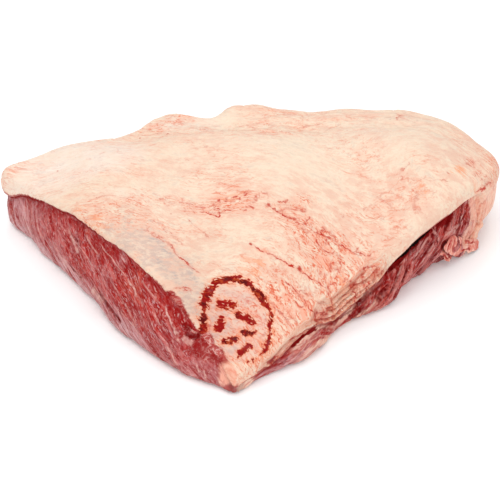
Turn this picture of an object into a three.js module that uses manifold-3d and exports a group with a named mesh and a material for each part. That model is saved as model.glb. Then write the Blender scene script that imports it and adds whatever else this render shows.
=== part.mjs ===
// A whole raw picanha (beef rump cap) lying on its lean side with the fat cap up.
// Millimetres, +Z up. The near tip points along -Y, and the flat underside lies on z = 0.
// Two solids: the lean muscle, and the fat cap that drapes over it like a blanket.
// Each is a sphere's grid of rings drawn into shape by section profiles that run from
// a middle point out over the rim, so both are closed and lie against each other with a thin gap.
// Torn lobes are fused to the foot of the right end.

import * as THREE from "three";
import { mergeVertices } from "three/addons/utils/BufferGeometryUtils.js";
import Module from "manifold-3d";

// Driving dimensions
const GAP = 0.3; // between the fat cap and the lean
const FOOT_ROUND = 4; // rounding where the walls meet the table
const CAP_MIDDLE = 10; // thickness of the fat at the middle of the cap
const LEAST_STEP = 0.6; // least height of the lean's shoulder above the fat's lower edge
const MIDDLE = new THREE.Vector2(2, 21); // all section planes turn about this point

// How the edge is made on each side, in mm:
// lip = width of the cap's rounded shoulder, fat = thickness of the fat at the rim,
// tuck = how far the fat's lower edge goes back in under its widest point,
// crease = how far the sheet of fat that hangs under a fold line stands back,
// inset = how far the lean stands back under the fat's lower edge,
// belly = extra swell of the lean halfway up, step = spacing of the samples along the rim
const CUT_FACE = { lip: 6, fat: 3, tuck: 0, crease: 0, inset: 1, belly: 3, step: 6.5 };
const TIP = { lip: 7, fat: 4, tuck: 0, crease: 0, inset: 1.5, belly: 0, step: 5 };
const THIN_EDGE = { lip: 8, fat: 5, tuck: 0, crease: 0, inset: 3, belly: 1, step: 6 };
const TORN_FACE = { lip: 7, fat: 8, tuck: 1, crease: 0, inset: 9, belly: 1, step: 6 };
const SKIRT = { lip: 9, fat: 9, tuck: 3, crease: 3, inset: 9, belly: 0, step: 5 };
const LEFT_END = { lip: 8, fat: 8, tuck: 2, crease: 0, inset: 5, belly: 1, step: 5 };
const BACK = { lip: 13, fat: 9, tuck: 3, crease: 0, inset: 7, belly: 2, step: 9 };
const CREASE = { height: 37, halfWidth: 2 }; // fold line under the rim at the right end

// Stations round the rim, anticlockwise from the near tip seen from above:
// [x, y, height of the fat's lower edge, shoulder above it, how far the foot stands out, side]
const RIM = [
  [-7.5, -88.5, 5, 7.5, 0, TIP],
  [3, -81.5, 5, 11.5, 1, TIP],
  [12.5, -74, 6.5, 13.5, 1, THIN_EDGE],
  [22, -66.5, 14, 8.5, 3, THIN_EDGE],
  [28.5, -62, 18, 7.5, 4, THIN_EDGE],
  [36, -55, 16, 10.5, 3, THIN_EDGE],
  [44.5, -44.5, 7.5, 19, 2, THIN_EDGE],
  [55, -37, 11.5, 18, 1, THIN_EDGE],
  [67.5, -28.5, 18, 15, 3, TORN_FACE],
  [81, -17, 27.5, 11.5, 5, TORN_FACE],
  [94, -5.5, 33, 10.5, 1, TORN_FACE],
  [108.5, 5.5, 37, 10.5, 0, TORN_FACE],
  [121.5, 17, 40, 8.5, -1, TORN_FACE],
  [132, 24, 41, 7.5, -3, TORN_FACE],
  [139.5, 29.5, 7.5, 40, -8.5, SKIRT],
  [146.5, 41, 5.5, 41, -8.5, SKIRT],
  [146.5, 54, 9.5, 36, -8.5, SKIRT],
  [138.5, 70.5, 15, 30.5, -7.5, BACK],
  [125.5, 89.5, 17, 28.5, -7.5, BACK],
  [106.5, 100, 19, 26.5, -7.5, BACK],
  [81.5, 102.5, 19, 25.5, -7.5, BACK],
  [61, 105.5, 19, 25.5, -7.5, BACK],
  [42, 101.5, 19, 25.5, -7.5, BACK],
  [23, 105.5, 19, 26.5, -7.5, BACK],
  [2, 107.5, 19, 26.5, -7.5, BACK],
  [-13.5, 104.5, 19, 26.5, -7.5, BACK],
  [-25.5, 94, 19, 26.5, -7.5, BACK],
  [-42, 95, 19, 26.5, -7.5, BACK],
  [-58, 97, 19, 25.5, -7.5, BACK],
  [-70.5, 82.5, 20, 24.5, -7.5, BACK],
  [-85.5, 73, 20, 24, -7.5, BACK],
  [-107.5, 67.5, 21, 22, -7.5, BACK],
  [-131, 57, 22, 20, -6.5, BACK],
  [-145.5, 48.5, 23, 18, -5, LEFT_END],
  [-141.5, 40, 24.5, 14, -1, LEFT_END],
  [-126.5, 31.5, 31.5, 7.5, 5.5, CUT_FACE],
  [-109, 14, 39, 5, 9.5, CUT_FACE],
  [-94, 0, 43.5, 5, 9.5, CUT_FACE],
  [-79, -19, 47.5, 4, 8.5, CUT_FACE],
  [-64.5, -35, 50.5, 4, 11.5, CUT_FACE],
  [-52, -47.5, 47.5, 4, 11.5, CUT_FACE],
  [-40, -57, 39, 4, 12.5, CUT_FACE],
  [-29.5, -63.5, 27.5, 4, 14, CUT_FACE],
  [-21, -70.5, 18, 4, 11.5, CUT_FACE],
  [-14, -79, 11.5, 5, 6.5, TIP],
];

// Heights of the cap between its rims: [x, y, z]
const SWELLS = [
  [-85.5, 43, 51.5],
  [-43, 24, 55],
  [-38, 66.5, 51.5],
  [5, 38, 57],
  [57, 43, 56],
  [100, 57, 53],
  [-9.5, -19, 44.5],
  [47.5, 0, 46.5],
  [0, -52, 29.5],
];

// Ridges and furrows in the cap: [x, y of one end, x, y of the other, height, half width]
const FOLDS = [
  [-106.5, 55, -66.5, 68.5, 2, 6.5],
  [-61, 80, -28.5, 85.5, 2.5, 5.5],
  [-19, 88.5, 9.5, 94, 2.5, 5.5],
  [28.5, 87.5, 87.5, 89.5, 1.5, 6.5],
  [-66.5, 62.5, -9.5, 74, -1.5, 5.5],
  [-9.5, 74, 57, 76, -1.5, 6.5],
  [-30.5, 5.5, 19, 2, -1.5, 7.5],
  [19, 2, 59, -24.5, -1.5, 7.5],
  [-13.5, -26.5, 23, -49.5, 1.5, 6.5],
  [66.5, 57, 106.5, 28.5, 1.5, 11.5],
];

// Torn lobes at the foot of the right end: [x, y, z, three radii, turn about Z, tilt]
const LEAN_LOBES = [
  [113, 11.5, 7.5, 7.5, 5, 7.5, 40, 14],
  [119, 16, 5, 6.5, 5, 5.5, 35, -20],
];
const SKIRT_LOBES = [
  [132, 27.5, 8.5, 4.5, 3.5, 7.5, 60, 10],
  [133, 26, 5.5, 4.5, 3, 5, 20, -15],
];
const LOBE_CLEARANCE = 0.6; // between a torn lobe and the other solid

const TOP_RINGS = 12; // rings on the cap's upper side
const LIP_RINGS = 9; // over its shoulder
const SHOULDER_RINGS = 4; // over the lean's shoulder, under the fat
const SEAM_RINGS = 5; // across the seam between fat and lean
const WALL_RINGS = 8; // down the lean's wall
const FOOT_RINGS = 2; // round the foot

const smooth = (f) => f * f * (3 - 2 * f);
const mix = THREE.MathUtils.lerp;
const quarter = Math.PI / 2;

// Samples of the rim, closer together where the side asks for it
function sampleRim() {
  const curve = new THREE.CatmullRomCurve3(
    RIM.map(([x, y]) => new THREE.Vector3(x, y, 0)),
    true,
    "catmullrom",
    0.5,
  );
  const samples = [];
  RIM.forEach(([x, y, split, , foot, side], i) => {
    const [nextX, nextY, nextSplit, , nextFoot, nextSide] = RIM[(i + 1) % RIM.length];
    const span = Math.hypot(nextX - x, nextY - y);
    const steps = Math.max(1, Math.round((2 * span) / (side.step + nextSide.step)));
    for (let k = 0; k < steps; k++) {
      const share = k / steps;
      const ease = smooth(share);
      const at = curve.getPoint((i + share) / RIM.length);
      const sample = {
        rim: new THREE.Vector2(at.x, at.y),
        split: mix(split, nextSplit, ease),
        foot: mix(foot, nextFoot, ease),
      };
      for (const size of ["lip", "fat", "tuck", "crease", "inset", "belly"])
        sample[size] = mix(side[size], nextSide[size], ease);
      sample.reach = sample.rim.distanceTo(MIDDLE);
      sample.outward = sample.rim.clone().sub(MIDDLE).normalize();
      samples.push(sample);
    }
  });
  return samples;
}

// Height of a ridge or furrow at a point of the plan
function foldAt(x, y, [x1, y1, x2, y2, height, halfWidth]) {
  const along = new THREE.Vector2(x2 - x1, y2 - y1);
  const length = along.length();
  along.normalize();
  const t = THREE.MathUtils.clamp((x - x1) * along.x + (y - y1) * along.y, 0, length);
  const away = Math.hypot(x - x1 - along.x * t, y - y1 - along.y * t);
  return height * Math.exp(-((away / halfWidth) ** 2));
}

// Uneven lay of the cap, from slow waves and the folds
function unevenness(x, y) {
  const waves =
    0.7 * Math.sin(x / 16 + y / 29) +
    0.6 * Math.sin(y / 14 - x / 35 + 1.3);
  return FOLDS.reduce((sum, fold) => sum + foldAt(x, y, fold), waves);
}

// A thin plate bent through points [x, y, z], as a function of x and y
function plateThrough(points) {
  const pull = (dx, dy) => {
    const squared = dx * dx + dy * dy;
    return squared > 0 ? squared * Math.log(squared) : 0;
  };
  const basis = (x, y) => [...points.map(([px, py]) => pull(x - px, y - py)), 1, x, y];
  const rows = points.map(([x, y, z]) => [...basis(x, y), z]);
  for (const side of [() => 1, ([x]) => x, ([, y]) => y])
    rows.push([...points.map(side), 0, 0, 0, 0]);
  const weights = solved(rows);
  return (x, y) => basis(x, y).reduce((sum, value, i) => sum + value * weights[i], 0);
}

// Solves a square system whose rows end in their right-hand sides
function solved(rows) {
  const size = rows.length;
  for (let i = 0; i < size; i++) {
    let best = i;
    for (let j = i + 1; j < size; j++) if (Math.abs(rows[j][i]) > Math.abs(rows[best][i])) best = j;
    [rows[i], rows[best]] = [rows[best], rows[i]];
    for (let j = 0; j < size; j++) {
      if (j === i) continue;
      const share = rows[j][i] / rows[i][i];
      for (let k = i; k <= size; k++) rows[j][k] -= share * rows[i][k];
    }
  }
  return rows.map((row, i) => row[size] / row[i]);
}

const samples = sampleRim();
const plate = plateThrough([...RIM.map(shoulderPoint), ...SWELLS]);

// Where the cap's top begins behind the rounded shoulder of a station
function shoulderPoint([x, y, split, rise, , side]) {
  const rim = new THREE.Vector2(x, y);
  const inward = MIDDLE.clone().sub(rim).normalize().multiplyScalar(side.lip);
  return [x + inward.x, y + inward.y, split + rise];
}

// A point at a distance outward of the rim, at a height
function at(sample, outward, z) {
  const reach = sample.reach + outward;
  return new THREE.Vector3(
    MIDDLE.x + sample.outward.x * reach,
    MIDDLE.y + sample.outward.y * reach,
    z,
  );
}

// The cap's upper side: share runs from 1 at the shoulder to 0 at the middle
function onTop(sample, share) {
  const p = at(sample, (sample.reach - sample.lip) * share - sample.reach, 0);
  p.z = plate(p.x, p.y) + unevenness(p.x, p.y);
  return p;
}

// The seam between fat and lean under the cap, on the lean's side
function onSeam(sample, share) {
  const edge = sample.reach - sample.inset - leanShoulder(sample);
  const p = at(sample, edge * share - sample.reach, 0);
  const above = plate(p.x, p.y) + unevenness(p.x, p.y);
  const thickness = mix(CAP_MIDDLE, sample.fat, share ** 2);
  p.z = mix(above - thickness, leanTop(sample), share ** 6);
  return p;
}

const capTop = (sample) => onTop(sample, 1).z;
const leanTop = (sample) => Math.max(capTop(sample) - sample.fat, sample.split + LEAST_STEP);
const leanShoulder = (sample) => Math.max(3, sample.lip - sample.fat * 0.4);

// The lean's shoulder, under the fat: turn runs from 0 at the lower edge to a quarter
function onShoulder(sample, turn, gap) {
  const out = -sample.inset - leanShoulder(sample) * (1 - Math.cos(turn));
  const rise = (leanTop(sample) - sample.split) * Math.sin(turn);
  return at(sample, out + gap * Math.cos(turn), sample.split + rise + gap);
}

// The cap's own shoulder, round from its lower edge up to the top
function onLip(sample, turn) {
  const rise = Math.sin(turn);
  const edge = sample.split + GAP;
  const z = edge + (capTop(sample) - edge) * rise;
  const round = sample.lip * (1 - Math.cos(turn));
  const over = THREE.MathUtils.smoothstep(z - CREASE.height, -CREASE.halfWidth, CREASE.halfWidth);
  return at(sample, -round - sample.tuck * (1 - rise) ** 2 - sample.crease * (1 - over), z);
}

// The lean's wall: share runs from 0 under the fat's edge to 1 above the foot's rounding
function onWall(sample, share) {
  const foot = sample.foot;
  const out = mix(-sample.inset, foot, share ** 0.7) + sample.belly * Math.sin(Math.PI * share);
  return at(sample, out, mix(sample.split, footRound(sample), share));
}

const footRound = (sample) => Math.min(FOOT_ROUND, sample.split * 0.5);

function onFoot(sample, turn) {
  const round = footRound(sample);
  return at(sample, sample.foot - round * (1 - Math.cos(turn)), round * (1 - Math.sin(turn)));
}

// Draws a sphere's grid into shape: rows is a list of functions of a sample, one for each
// ring from the upper pole to the lower one, and the poles' rows give one point for all
function drawnBall(rows) {
  const around = samples.length;
  const ball = new THREE.SphereGeometry(1, around, rows.length - 1);
  const position = ball.getAttribute("position");
  rows.forEach((row, j) => {
    for (let i = 0; i <= around; i++) {
      const p = row(samples[i % around]);
      position.setXYZ(j * (around + 1) + i, p.x, p.y, p.z);
    }
  });
  splitShortWay(ball, around, rows.length - 1);
  ball.deleteAttribute("normal");
  ball.deleteAttribute("uv");
  return mergeVertices(ball, 1e-4);
}

// Splits every four-cornered patch of a sphere's grid along its shorter diagonal, so that
// the two faces of the seam are split alike and don't cut into each other
function splitShortWay(ball, around, down) {
  const position = ball.getAttribute("position");
  const corner = (i) => new THREE.Vector3().fromBufferAttribute(position, i);
  const poleCorners = 3 * around;
  for (let patch = 0; patch < around * (down - 2); patch++) {
    const start = poleCorners + 6 * patch;
    const [a, b, d, , c] = ball.index.array.slice(start, start + 6);
    if (corner(a).distanceTo(corner(c)) < corner(b).distanceTo(corner(d)))
      ball.index.array.set([a, b, c, a, c, d], start);
  }
}

const shares = (count, from, to) =>
  Array.from({ length: count }, (_, i) => from + ((to - from) * i) / count);

function leanMuscle() {
  const rows = [
    ...shares(SEAM_RINGS, 0, 1).map((share) => (s) => onSeam(s, share)),
    ...shares(SHOULDER_RINGS, quarter, 0).map((turn) => (s) => onShoulder(s, turn, 0)),
    ...shares(WALL_RINGS, 0, 1).map((share) => (s) => onWall(s, share)),
    ...shares(FOOT_RINGS, 0, quarter).map((turn) => (s) => onFoot(s, turn)),
    (s) => onFoot(s, quarter),
    () => new THREE.Vector3(MIDDLE.x, MIDDLE.y, 0),
  ];
  return drawnBall(rows);
}

function fatCap() {
  const rows = [
    ...shares(TOP_RINGS, 0, 1).map((share) => (s) => onTop(s, share)),
    ...shares(LIP_RINGS, quarter, 0).map((turn) => (s) => onLip(s, turn)),
    (s) => onLip(s, 0),
    ...shares(SHOULDER_RINGS, 0, quarter).map((turn) => (s) => onShoulder(s, turn, GAP)),
    ...shares(SEAM_RINGS, 1, 0).map((share) => (s) => onSeam(s, share).setZ(onSeam(s, share).z + GAP)),
    (s) => onSeam(s, 0).setZ(onSeam(s, 0).z + GAP),
  ];
  return drawnBall(rows);
}

const wasm = await Module();
wasm.setup();

function solidOf(geometry) {
  return new wasm.Manifold(
    new wasm.Mesh({
      numProp: 3,
      vertProperties: Float32Array.from(geometry.getAttribute("position").array),
      triVerts: Uint32Array.from(geometry.index.array),
    }),
  );
}

function geometryOf(solid) {
  const { vertProperties, triVerts } = solid.getMesh();
  const geometry = new THREE.BufferGeometry();
  geometry.setAttribute("position", new THREE.BufferAttribute(vertProperties, 3));
  geometry.setIndex(new THREE.BufferAttribute(triVerts, 1));
  return geometry;
}

// A lump of torn tissue, as an uneven ball cut off level with the table
function lobe([x, y, z, radiusX, radiusY, radiusZ, turn, tilt]) {
  const ball = new THREE.SphereGeometry(1, 14, 9);
  const position = ball.getAttribute("position");
  for (let i = 0; i < position.count; i++) {
    const p = new THREE.Vector3().fromBufferAttribute(position, i);
    p.multiplyScalar(1 + 0.12 * Math.sin(5 * p.x + 2 * p.z + x) * Math.cos(4 * p.y + z));
    position.setXYZ(i, p.x * radiusX, p.y * radiusY, p.z * radiusZ);
  }
  ball.rotateX(THREE.MathUtils.degToRad(tilt));
  ball.rotateZ(THREE.MathUtils.degToRad(turn));
  ball.translate(x, y, z);
  for (let i = 0; i < position.count; i++) position.setZ(i, Math.max(0, position.getZ(i)));
  ball.deleteAttribute("normal");
  ball.deleteAttribute("uv");
  return solidOf(mergeVertices(ball, 1e-4));
}

// A copy of a body swollen by a distance on all sides
function swollen(geometry, distance) {
  const copy = geometry.clone();
  copy.computeVertexNormals();
  const position = copy.getAttribute("position");
  const normal = copy.getAttribute("normal");
  for (let i = 0; i < position.count; i++) {
    const p = new THREE.Vector3().fromBufferAttribute(position, i);
    const n = new THREE.Vector3().fromBufferAttribute(normal, i);
    p.addScaledVector(n, distance);
    position.setXYZ(i, p.x, p.y, p.z);
  }
  return solidOf(copy);
}

// Fuses torn lobes to a body, clear of its neighbour
function withLobes(body, neighbour, lobes) {
  const keepOut = swollen(neighbour, LOBE_CLEARANCE);
  return geometryOf(
    lobes.reduce((sum, size) => sum.add(lobe(size).subtract(keepOut)), solidOf(body)),
  );
}

function named(name, geometry, colour, roughness) {
  const material = new THREE.MeshStandardMaterial({ color: colour, roughness, metalness: 0 });
  const mesh = new THREE.Mesh(geometry, material);
  mesh.name = name;
  return mesh;
}

const lean = withLobes(leanMuscle(), fatCap(), LEAN_LOBES);
const cap = withLobes(fatCap(), lean, SKIRT_LOBES);
const picanha = new THREE.Group();
picanha.name = "picanha";
picanha.add(named("lean_muscle", lean, 0xa8403c, 0.45));
picanha.add(named("fat_cap", cap, 0xf5d8c4, 0.5));

// The origin is the middle of the box's underside
const box = new THREE.Box3().setFromObject(picanha);
const middle = box.getCenter(new THREE.Vector3());
for (const mesh of picanha.children) mesh.geometry.translate(-middle.x, -middle.y, -box.min.z);

export default picanha;
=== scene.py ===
"""A whole raw picanha lying on its lean side, with its fat cap up.

The lean muscle and the fat cap are remeshed from the frame's two solids, then worked over with
grain, bundles, folds, vessels and torn edges. Positions in the tables are in millimetres, on
the plan seen from above or in space: X to the thick torn end, -Y to the near tip, Z up.
"""

import math

import bmesh
import bpy
import numpy as np
from bpy.props import FloatProperty, FloatVectorProperty, IntProperty, PointerProperty
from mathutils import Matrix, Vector
from mathutils.bvhtree import BVHTree


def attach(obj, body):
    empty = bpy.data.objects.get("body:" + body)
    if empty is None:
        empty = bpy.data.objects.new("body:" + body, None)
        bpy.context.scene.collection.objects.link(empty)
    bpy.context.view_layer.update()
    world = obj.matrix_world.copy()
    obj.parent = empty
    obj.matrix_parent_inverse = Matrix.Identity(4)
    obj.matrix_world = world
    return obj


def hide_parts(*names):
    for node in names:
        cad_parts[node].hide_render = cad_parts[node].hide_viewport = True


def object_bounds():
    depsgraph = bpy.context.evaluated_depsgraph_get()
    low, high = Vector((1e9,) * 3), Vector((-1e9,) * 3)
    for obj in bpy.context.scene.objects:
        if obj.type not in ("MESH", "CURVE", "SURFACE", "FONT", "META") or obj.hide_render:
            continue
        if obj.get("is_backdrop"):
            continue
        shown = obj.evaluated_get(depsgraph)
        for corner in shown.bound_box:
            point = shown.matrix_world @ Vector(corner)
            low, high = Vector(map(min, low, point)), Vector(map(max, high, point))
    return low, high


bl_info = {
    "name": "Raw Picanha",
    "version": (1, 0, 0),
    "blender": (4, 5, 0),
    "location": "View3D > Sidebar > Picanha",
    "description": "Dresses a raw picanha: lean muscle, fat cap, torn strands and flaps",
    "category": "Object",
}

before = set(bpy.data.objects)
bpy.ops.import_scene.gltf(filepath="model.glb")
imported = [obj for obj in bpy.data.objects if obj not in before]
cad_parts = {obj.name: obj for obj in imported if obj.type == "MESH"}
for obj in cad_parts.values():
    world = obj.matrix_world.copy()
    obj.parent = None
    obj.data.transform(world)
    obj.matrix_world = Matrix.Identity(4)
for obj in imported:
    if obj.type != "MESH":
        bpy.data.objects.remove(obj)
CAD_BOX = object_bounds()

MM = 0.001
MIDDLE = (2.7, 12.5)  # of the cap on the plan
LEFT_CORNER = (-143.0, 33.0)
NEAR_TIP = (-7.0, -97.0)
RIGHT_CORNER = (139.0, 21.0)

# Which way the streaks in the cap run: point on the plan, direction in degrees
STREAKS = (
    (-125, 42, -20), (-109, 48, 8), (-85, 48, 4), (-93, 9, -4), (-76, 12, -6), (-54, 10, -8),
    (-85, -14, -42), (-67, -34, -44), (-48, -40, -36), (-27, 18, -6), (-13, -5, 26), (1, 24, -2),
    (11, -8, -16), (28, -15, -38), (41, -21, -40), (28, 16, -4), (48, -3, -16), (66, 8, 24),
    (83, 20, 28), (48, -44, -76), (59, -40, -72), (51, -47, -74), (21, -62, -50), (11, -71, -44),
    (2, -50, -38), (-4, -86, -58), (-10, -79, -60), (66, -28, -50), (78, -22, 20), (96, 2, 36),
    (117, 40, -40), (130, 30, -70), (136, 45, -80), (30, 75, 2), (-11, 69, -4), (-40, 61, 6),
    (60, 78, -6), (87, 56, -12), (100, 75, -30),
)
# Fine blood vessels in the cap: width in mm, strength, then points on the plan or in space
VESSELS = (
    (0.38, 1.0, (1, -28), (7, -31), (13, -33), (20, -36), (26, -38)),
    (0.38, 0.9, (26, -38), (29, -40), (33, -42), (38, -44), (42, -49), (44, -52), (45, -55)),
    (0.38, 1.0, (18, -45), (23, -49), (26, -53), (29, -57), (32, -62), (36, -63)),
    (0.5, 1.0, (-13, -4), (-11, -4)), (0.38, 1.0, (-7, -2), (-4, -2)),
    (0.44, 1.0, (-3, -1), (-1, 1)), (0.38, 0.5, (4, 0), (10, 1), (11, -2)),
    (0.38, 0.9, (-14, -10), (-9, -10)),
    (0.38, 0.9, (-27, -14), (-23, -14), (-18, -15), (-16, -15), (-15, -11)),
    (0.5, 0.7, (-26, -12), (-22, -10), (-19, -8), (-14, -6)), (0.44, 0.9, (-3, -9), (-1, -9)),
    (0.38, 0.7, (1, -12), (3, -13)),
    (0.5, 1.0, (8, -4), (11, -6), (15, -7), (19, -10), (21, -11), (24, -11), (29, -13)),
    (0.38, 0.7, (15, -3), (18, -3), (22, -2)), (0.5, 0.7, (30, -12), (33, -11)),
    (0.5, 0.4, (15, -7), (23, -6), (32, -8)),
    (0.38, 0.8, (31, -15), (36, -18), (44, -21), (52, -25), (60, -27), (68, -31)),
    (0.38, 0.9, (36, -20), (36, -23), (39, -26), (43, -28), (47, -26)),
    (0.5, 0.9, (59, -33), (60, -37), (61, -41)), (0.38, 1.0, (62, -40), (66, -40), (70, -38)),
    (0.5, 0.8, (57, -36), (64, -34), (71, -34)),
    (0.62, 0.6, (-4, -62), (6, -56), (15, -62), (24, -70)),
    (1, 0.5, (122, 31), (124, 28), (127, 27)), (0.62, 0.6, (124, 34), (126, 30), (125, 26)),
    (0.62, 0.6, (126, 24), (128, 20), (130, 17)),
    (0.5, 0.9, (124, 11, 45), (127, 13, 43), (129, 14, 44), (131, 15, 45), (133, 18, 45),
     (136, 21, 43), (138, 24, 40)),
    (0.38, 0.8, (131, 15, 46), (131, 15, 42)), (0.5, 0.6, (138, 23, 40), (140, 27, 32)),
    (1.4, 0.4, (131, 16, 37), (134, 19, 24), (133, 18, 15)),
    (1, 0.3, (88, 8), (91, 3), (90, -3), (94, -9)), (0.5, 0.4, (78, 14), (84, 18), (90, 24)),
    (0.5, 0.2, (66, -2), (73, 3), (80, 4), (86, -1)),
    (0.44, 0.7, (-53, -35), (-46, -38), (-40, -41), (-37, -45), (-30, -49), (-23, -51)),
    (0.44, 0.9, (-39, -63, 43), (-35, -61, 41), (-30, -60, 39), (-34, -62, 40)),
    (0.4, 0.35, (-74, 63), (-71, 62), (-63, 60), (-55, 60), (-46, 59), (-40, 57)),
    (0.5, 0.35, (-37, 63), (-28, 61), (-20, 58)), (0.5, 0.35, (-8, 66), (1, 66), (8, 69)),
    (0.5, 0.3, (30, 66), (37, 69), (45, 71)),
    (0.7, 0.8, (60, -41, 22), (65, -38, 24), (69, -35, 25), (74, -31, 26)),
    (0.5, 0.7, (49, -48, 20), (52, -46, 22), (55, -44, 23)),
    (0.5, 0.8, (87, 82), (89, 78), (91, 72)), (0.5, 0.7, (86, 70), (89, 77), (93, 79)),
    (0.44, 0.6, (-47, -10), (-39, -8), (-31, -9), (-21, -12), (-13, -13), (-9, -10)),
    (0.38, 0.5, (-33, -21), (-28, -25), (-20, -30)),
    (0.38, 0.4, (-90, -4), (-80, 0), (-70, -3), (-62, -6)),
    (1, 1.0, (-27, -77, 22), (-25, -76, 22), (-23, -75, 24), (-21, -74, 24), (-19, -71, 25)),
)
# Short streaks of blood: how many, half length and half depth of their patch, its turn in
# degrees, strength, middle on the plan
SQUIGGLES = (
    (34, 18, 14, -62, 0.9, (54, -38)), (16, 12, 8, -46, 0.8, (30, -55)),
    (14, 16, 4, -30, 0.7, (36, -18)), (14, 15, 5, 24, 0.9, (-8, -5)),
    (10, 15, 5, -10, 0.5, (-37, -9)), (12, 11, 6, -35, 0.6, (-47, -32)),
    (9, 14, 6, -45, 0.2, (-86, -14)), (14, 26, 8, 25, 0.4, (82, 4)),
    (18, 50, 6, -3, 0.25, (-14, 62)), (12, 34, 6, -5, 0.25, (56, 72)),
    (10, 5, 11, 20, 0.6, (125, 26)), (10, 10, 12, -60, 0.6, (12, -70)),
    (10, 40, 16, 0, 0.3, (-60, 40)),
)
# Sinew threads on the muscle: width in mm, strength, then points
THREADS = (
    (0.3, 0.8, (-79, -29, 44), (-75, -35, 43), (-71, -41, 43), (-67, -47, 41), (-63, -52, 39)),
    (0.6, 1.0, (-63, -52, 40), (-61, -55, 38), (-59, -57, 36), (-58, -60, 33)),
    (0.7, 0.8, (-99, -8, 35), (-96, -13, 32), (-94, -18, 30), (-92, -21, 27)),
    (0.3, 0.7, (-97, -11, 35), (-94, -16, 33), (-90, -22, 32), (-86, -28, 31), (-82, -35, 27)),
    (0.5, 0.6, (-110, -2, 21), (-107, -6, 16), (-104, -10, 14), (-99, -15, 16)),
    (0.5, 1.0, (-43, -67, 35), (-42, -69, 33), (-40, -73, 29), (-38, -75, 25), (-37, -77, 23)),
    (0.4, 0.9, (-49, -67, 31), (-47, -70, 28), (-45, -72, 25)),
    (0.5, 0.9, (-43, -77, 16), (-40, -80, 12), (-37, -82, 6)),
    (0.4, 0.6, (-120, 13, 28), (-119, 8, 23), (-117, 5, 16)),
    (0.4, 0.6, (-129, 21, 19), (-127, 18, 12), (-125, 15, 5)),
    (0.4, 0.7, (-68, -55, 19), (-61, -62, 15), (-57, -66, 12)),
    (0.8, 0.5, (-105, -8, 10), (-96, -19, 12), (-90, -27, 12)),
    (0.5, 0.9, (-23, -88, 10), (-22, -91, 5)), (0.5, 0.8, (-27, -85, 12), (-25, -88, 7)),
    (0.4, 0.7, (-39, -73, 27), (-37, -76, 24), (-36, -79, 20)),
    (0.5, 0.6, (-56, -55, 43), (-49, -63, 38), (-44, -67, 34)),
    (0.4, 0.6, (-72, -47, 33), (-67, -54, 28), (-62, -60, 22), (-58, -66, 15)),
    (1.6, 0.7, (-34, -77, 23), (-31, -79, 21), (-28, -80, 20)),
    (0.6, 0.8, (-32, -73, 27), (-30, -74, 25), (-28, -75, 24), (-26, -75, 23)),
    (0.35, 1.0, (-28, -78, 22), (-25, -76, 22), (-23, -76, 23), (-21, -75, 23)),
    (2.2, 1.0, (-86, -33, 13), (-81, -39, 13), (-77, -45, 14)),
    (0.5, 0.7, (-88, -20, 42), (-84, -27, 40), (-79, -35, 40)),
    (0.5, 0.9, (113, 3, 19), (116, 6, 21), (119, 9, 24), (119, 10, 27), (121, 11, 29)),
    (0.9, 1.0, (122, 10, 13), (124, 12, 15), (126, 13, 17), (126, 14, 21)),
    (0.5, 0.7, (91, -15, 19), (93, -13, 21), (95, -11, 22), (97, -8, 25), (101, -5, 27)),
    (0.5, 0.6, (99, -10, 14), (101, -8, 16), (103, -6, 18), (105, -4, 20)),
    (0.6, 0.8, (109, 0, 21), (113, 4, 22), (118, 8, 24)),
    (0.5, 0.6, (104, -1, 22), (99, -6, 15), (94, -11, 9)),
    (0.5, 0.7, (84, -20, 19), (81, -24, 14), (80, -26, 9)),
)
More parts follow.
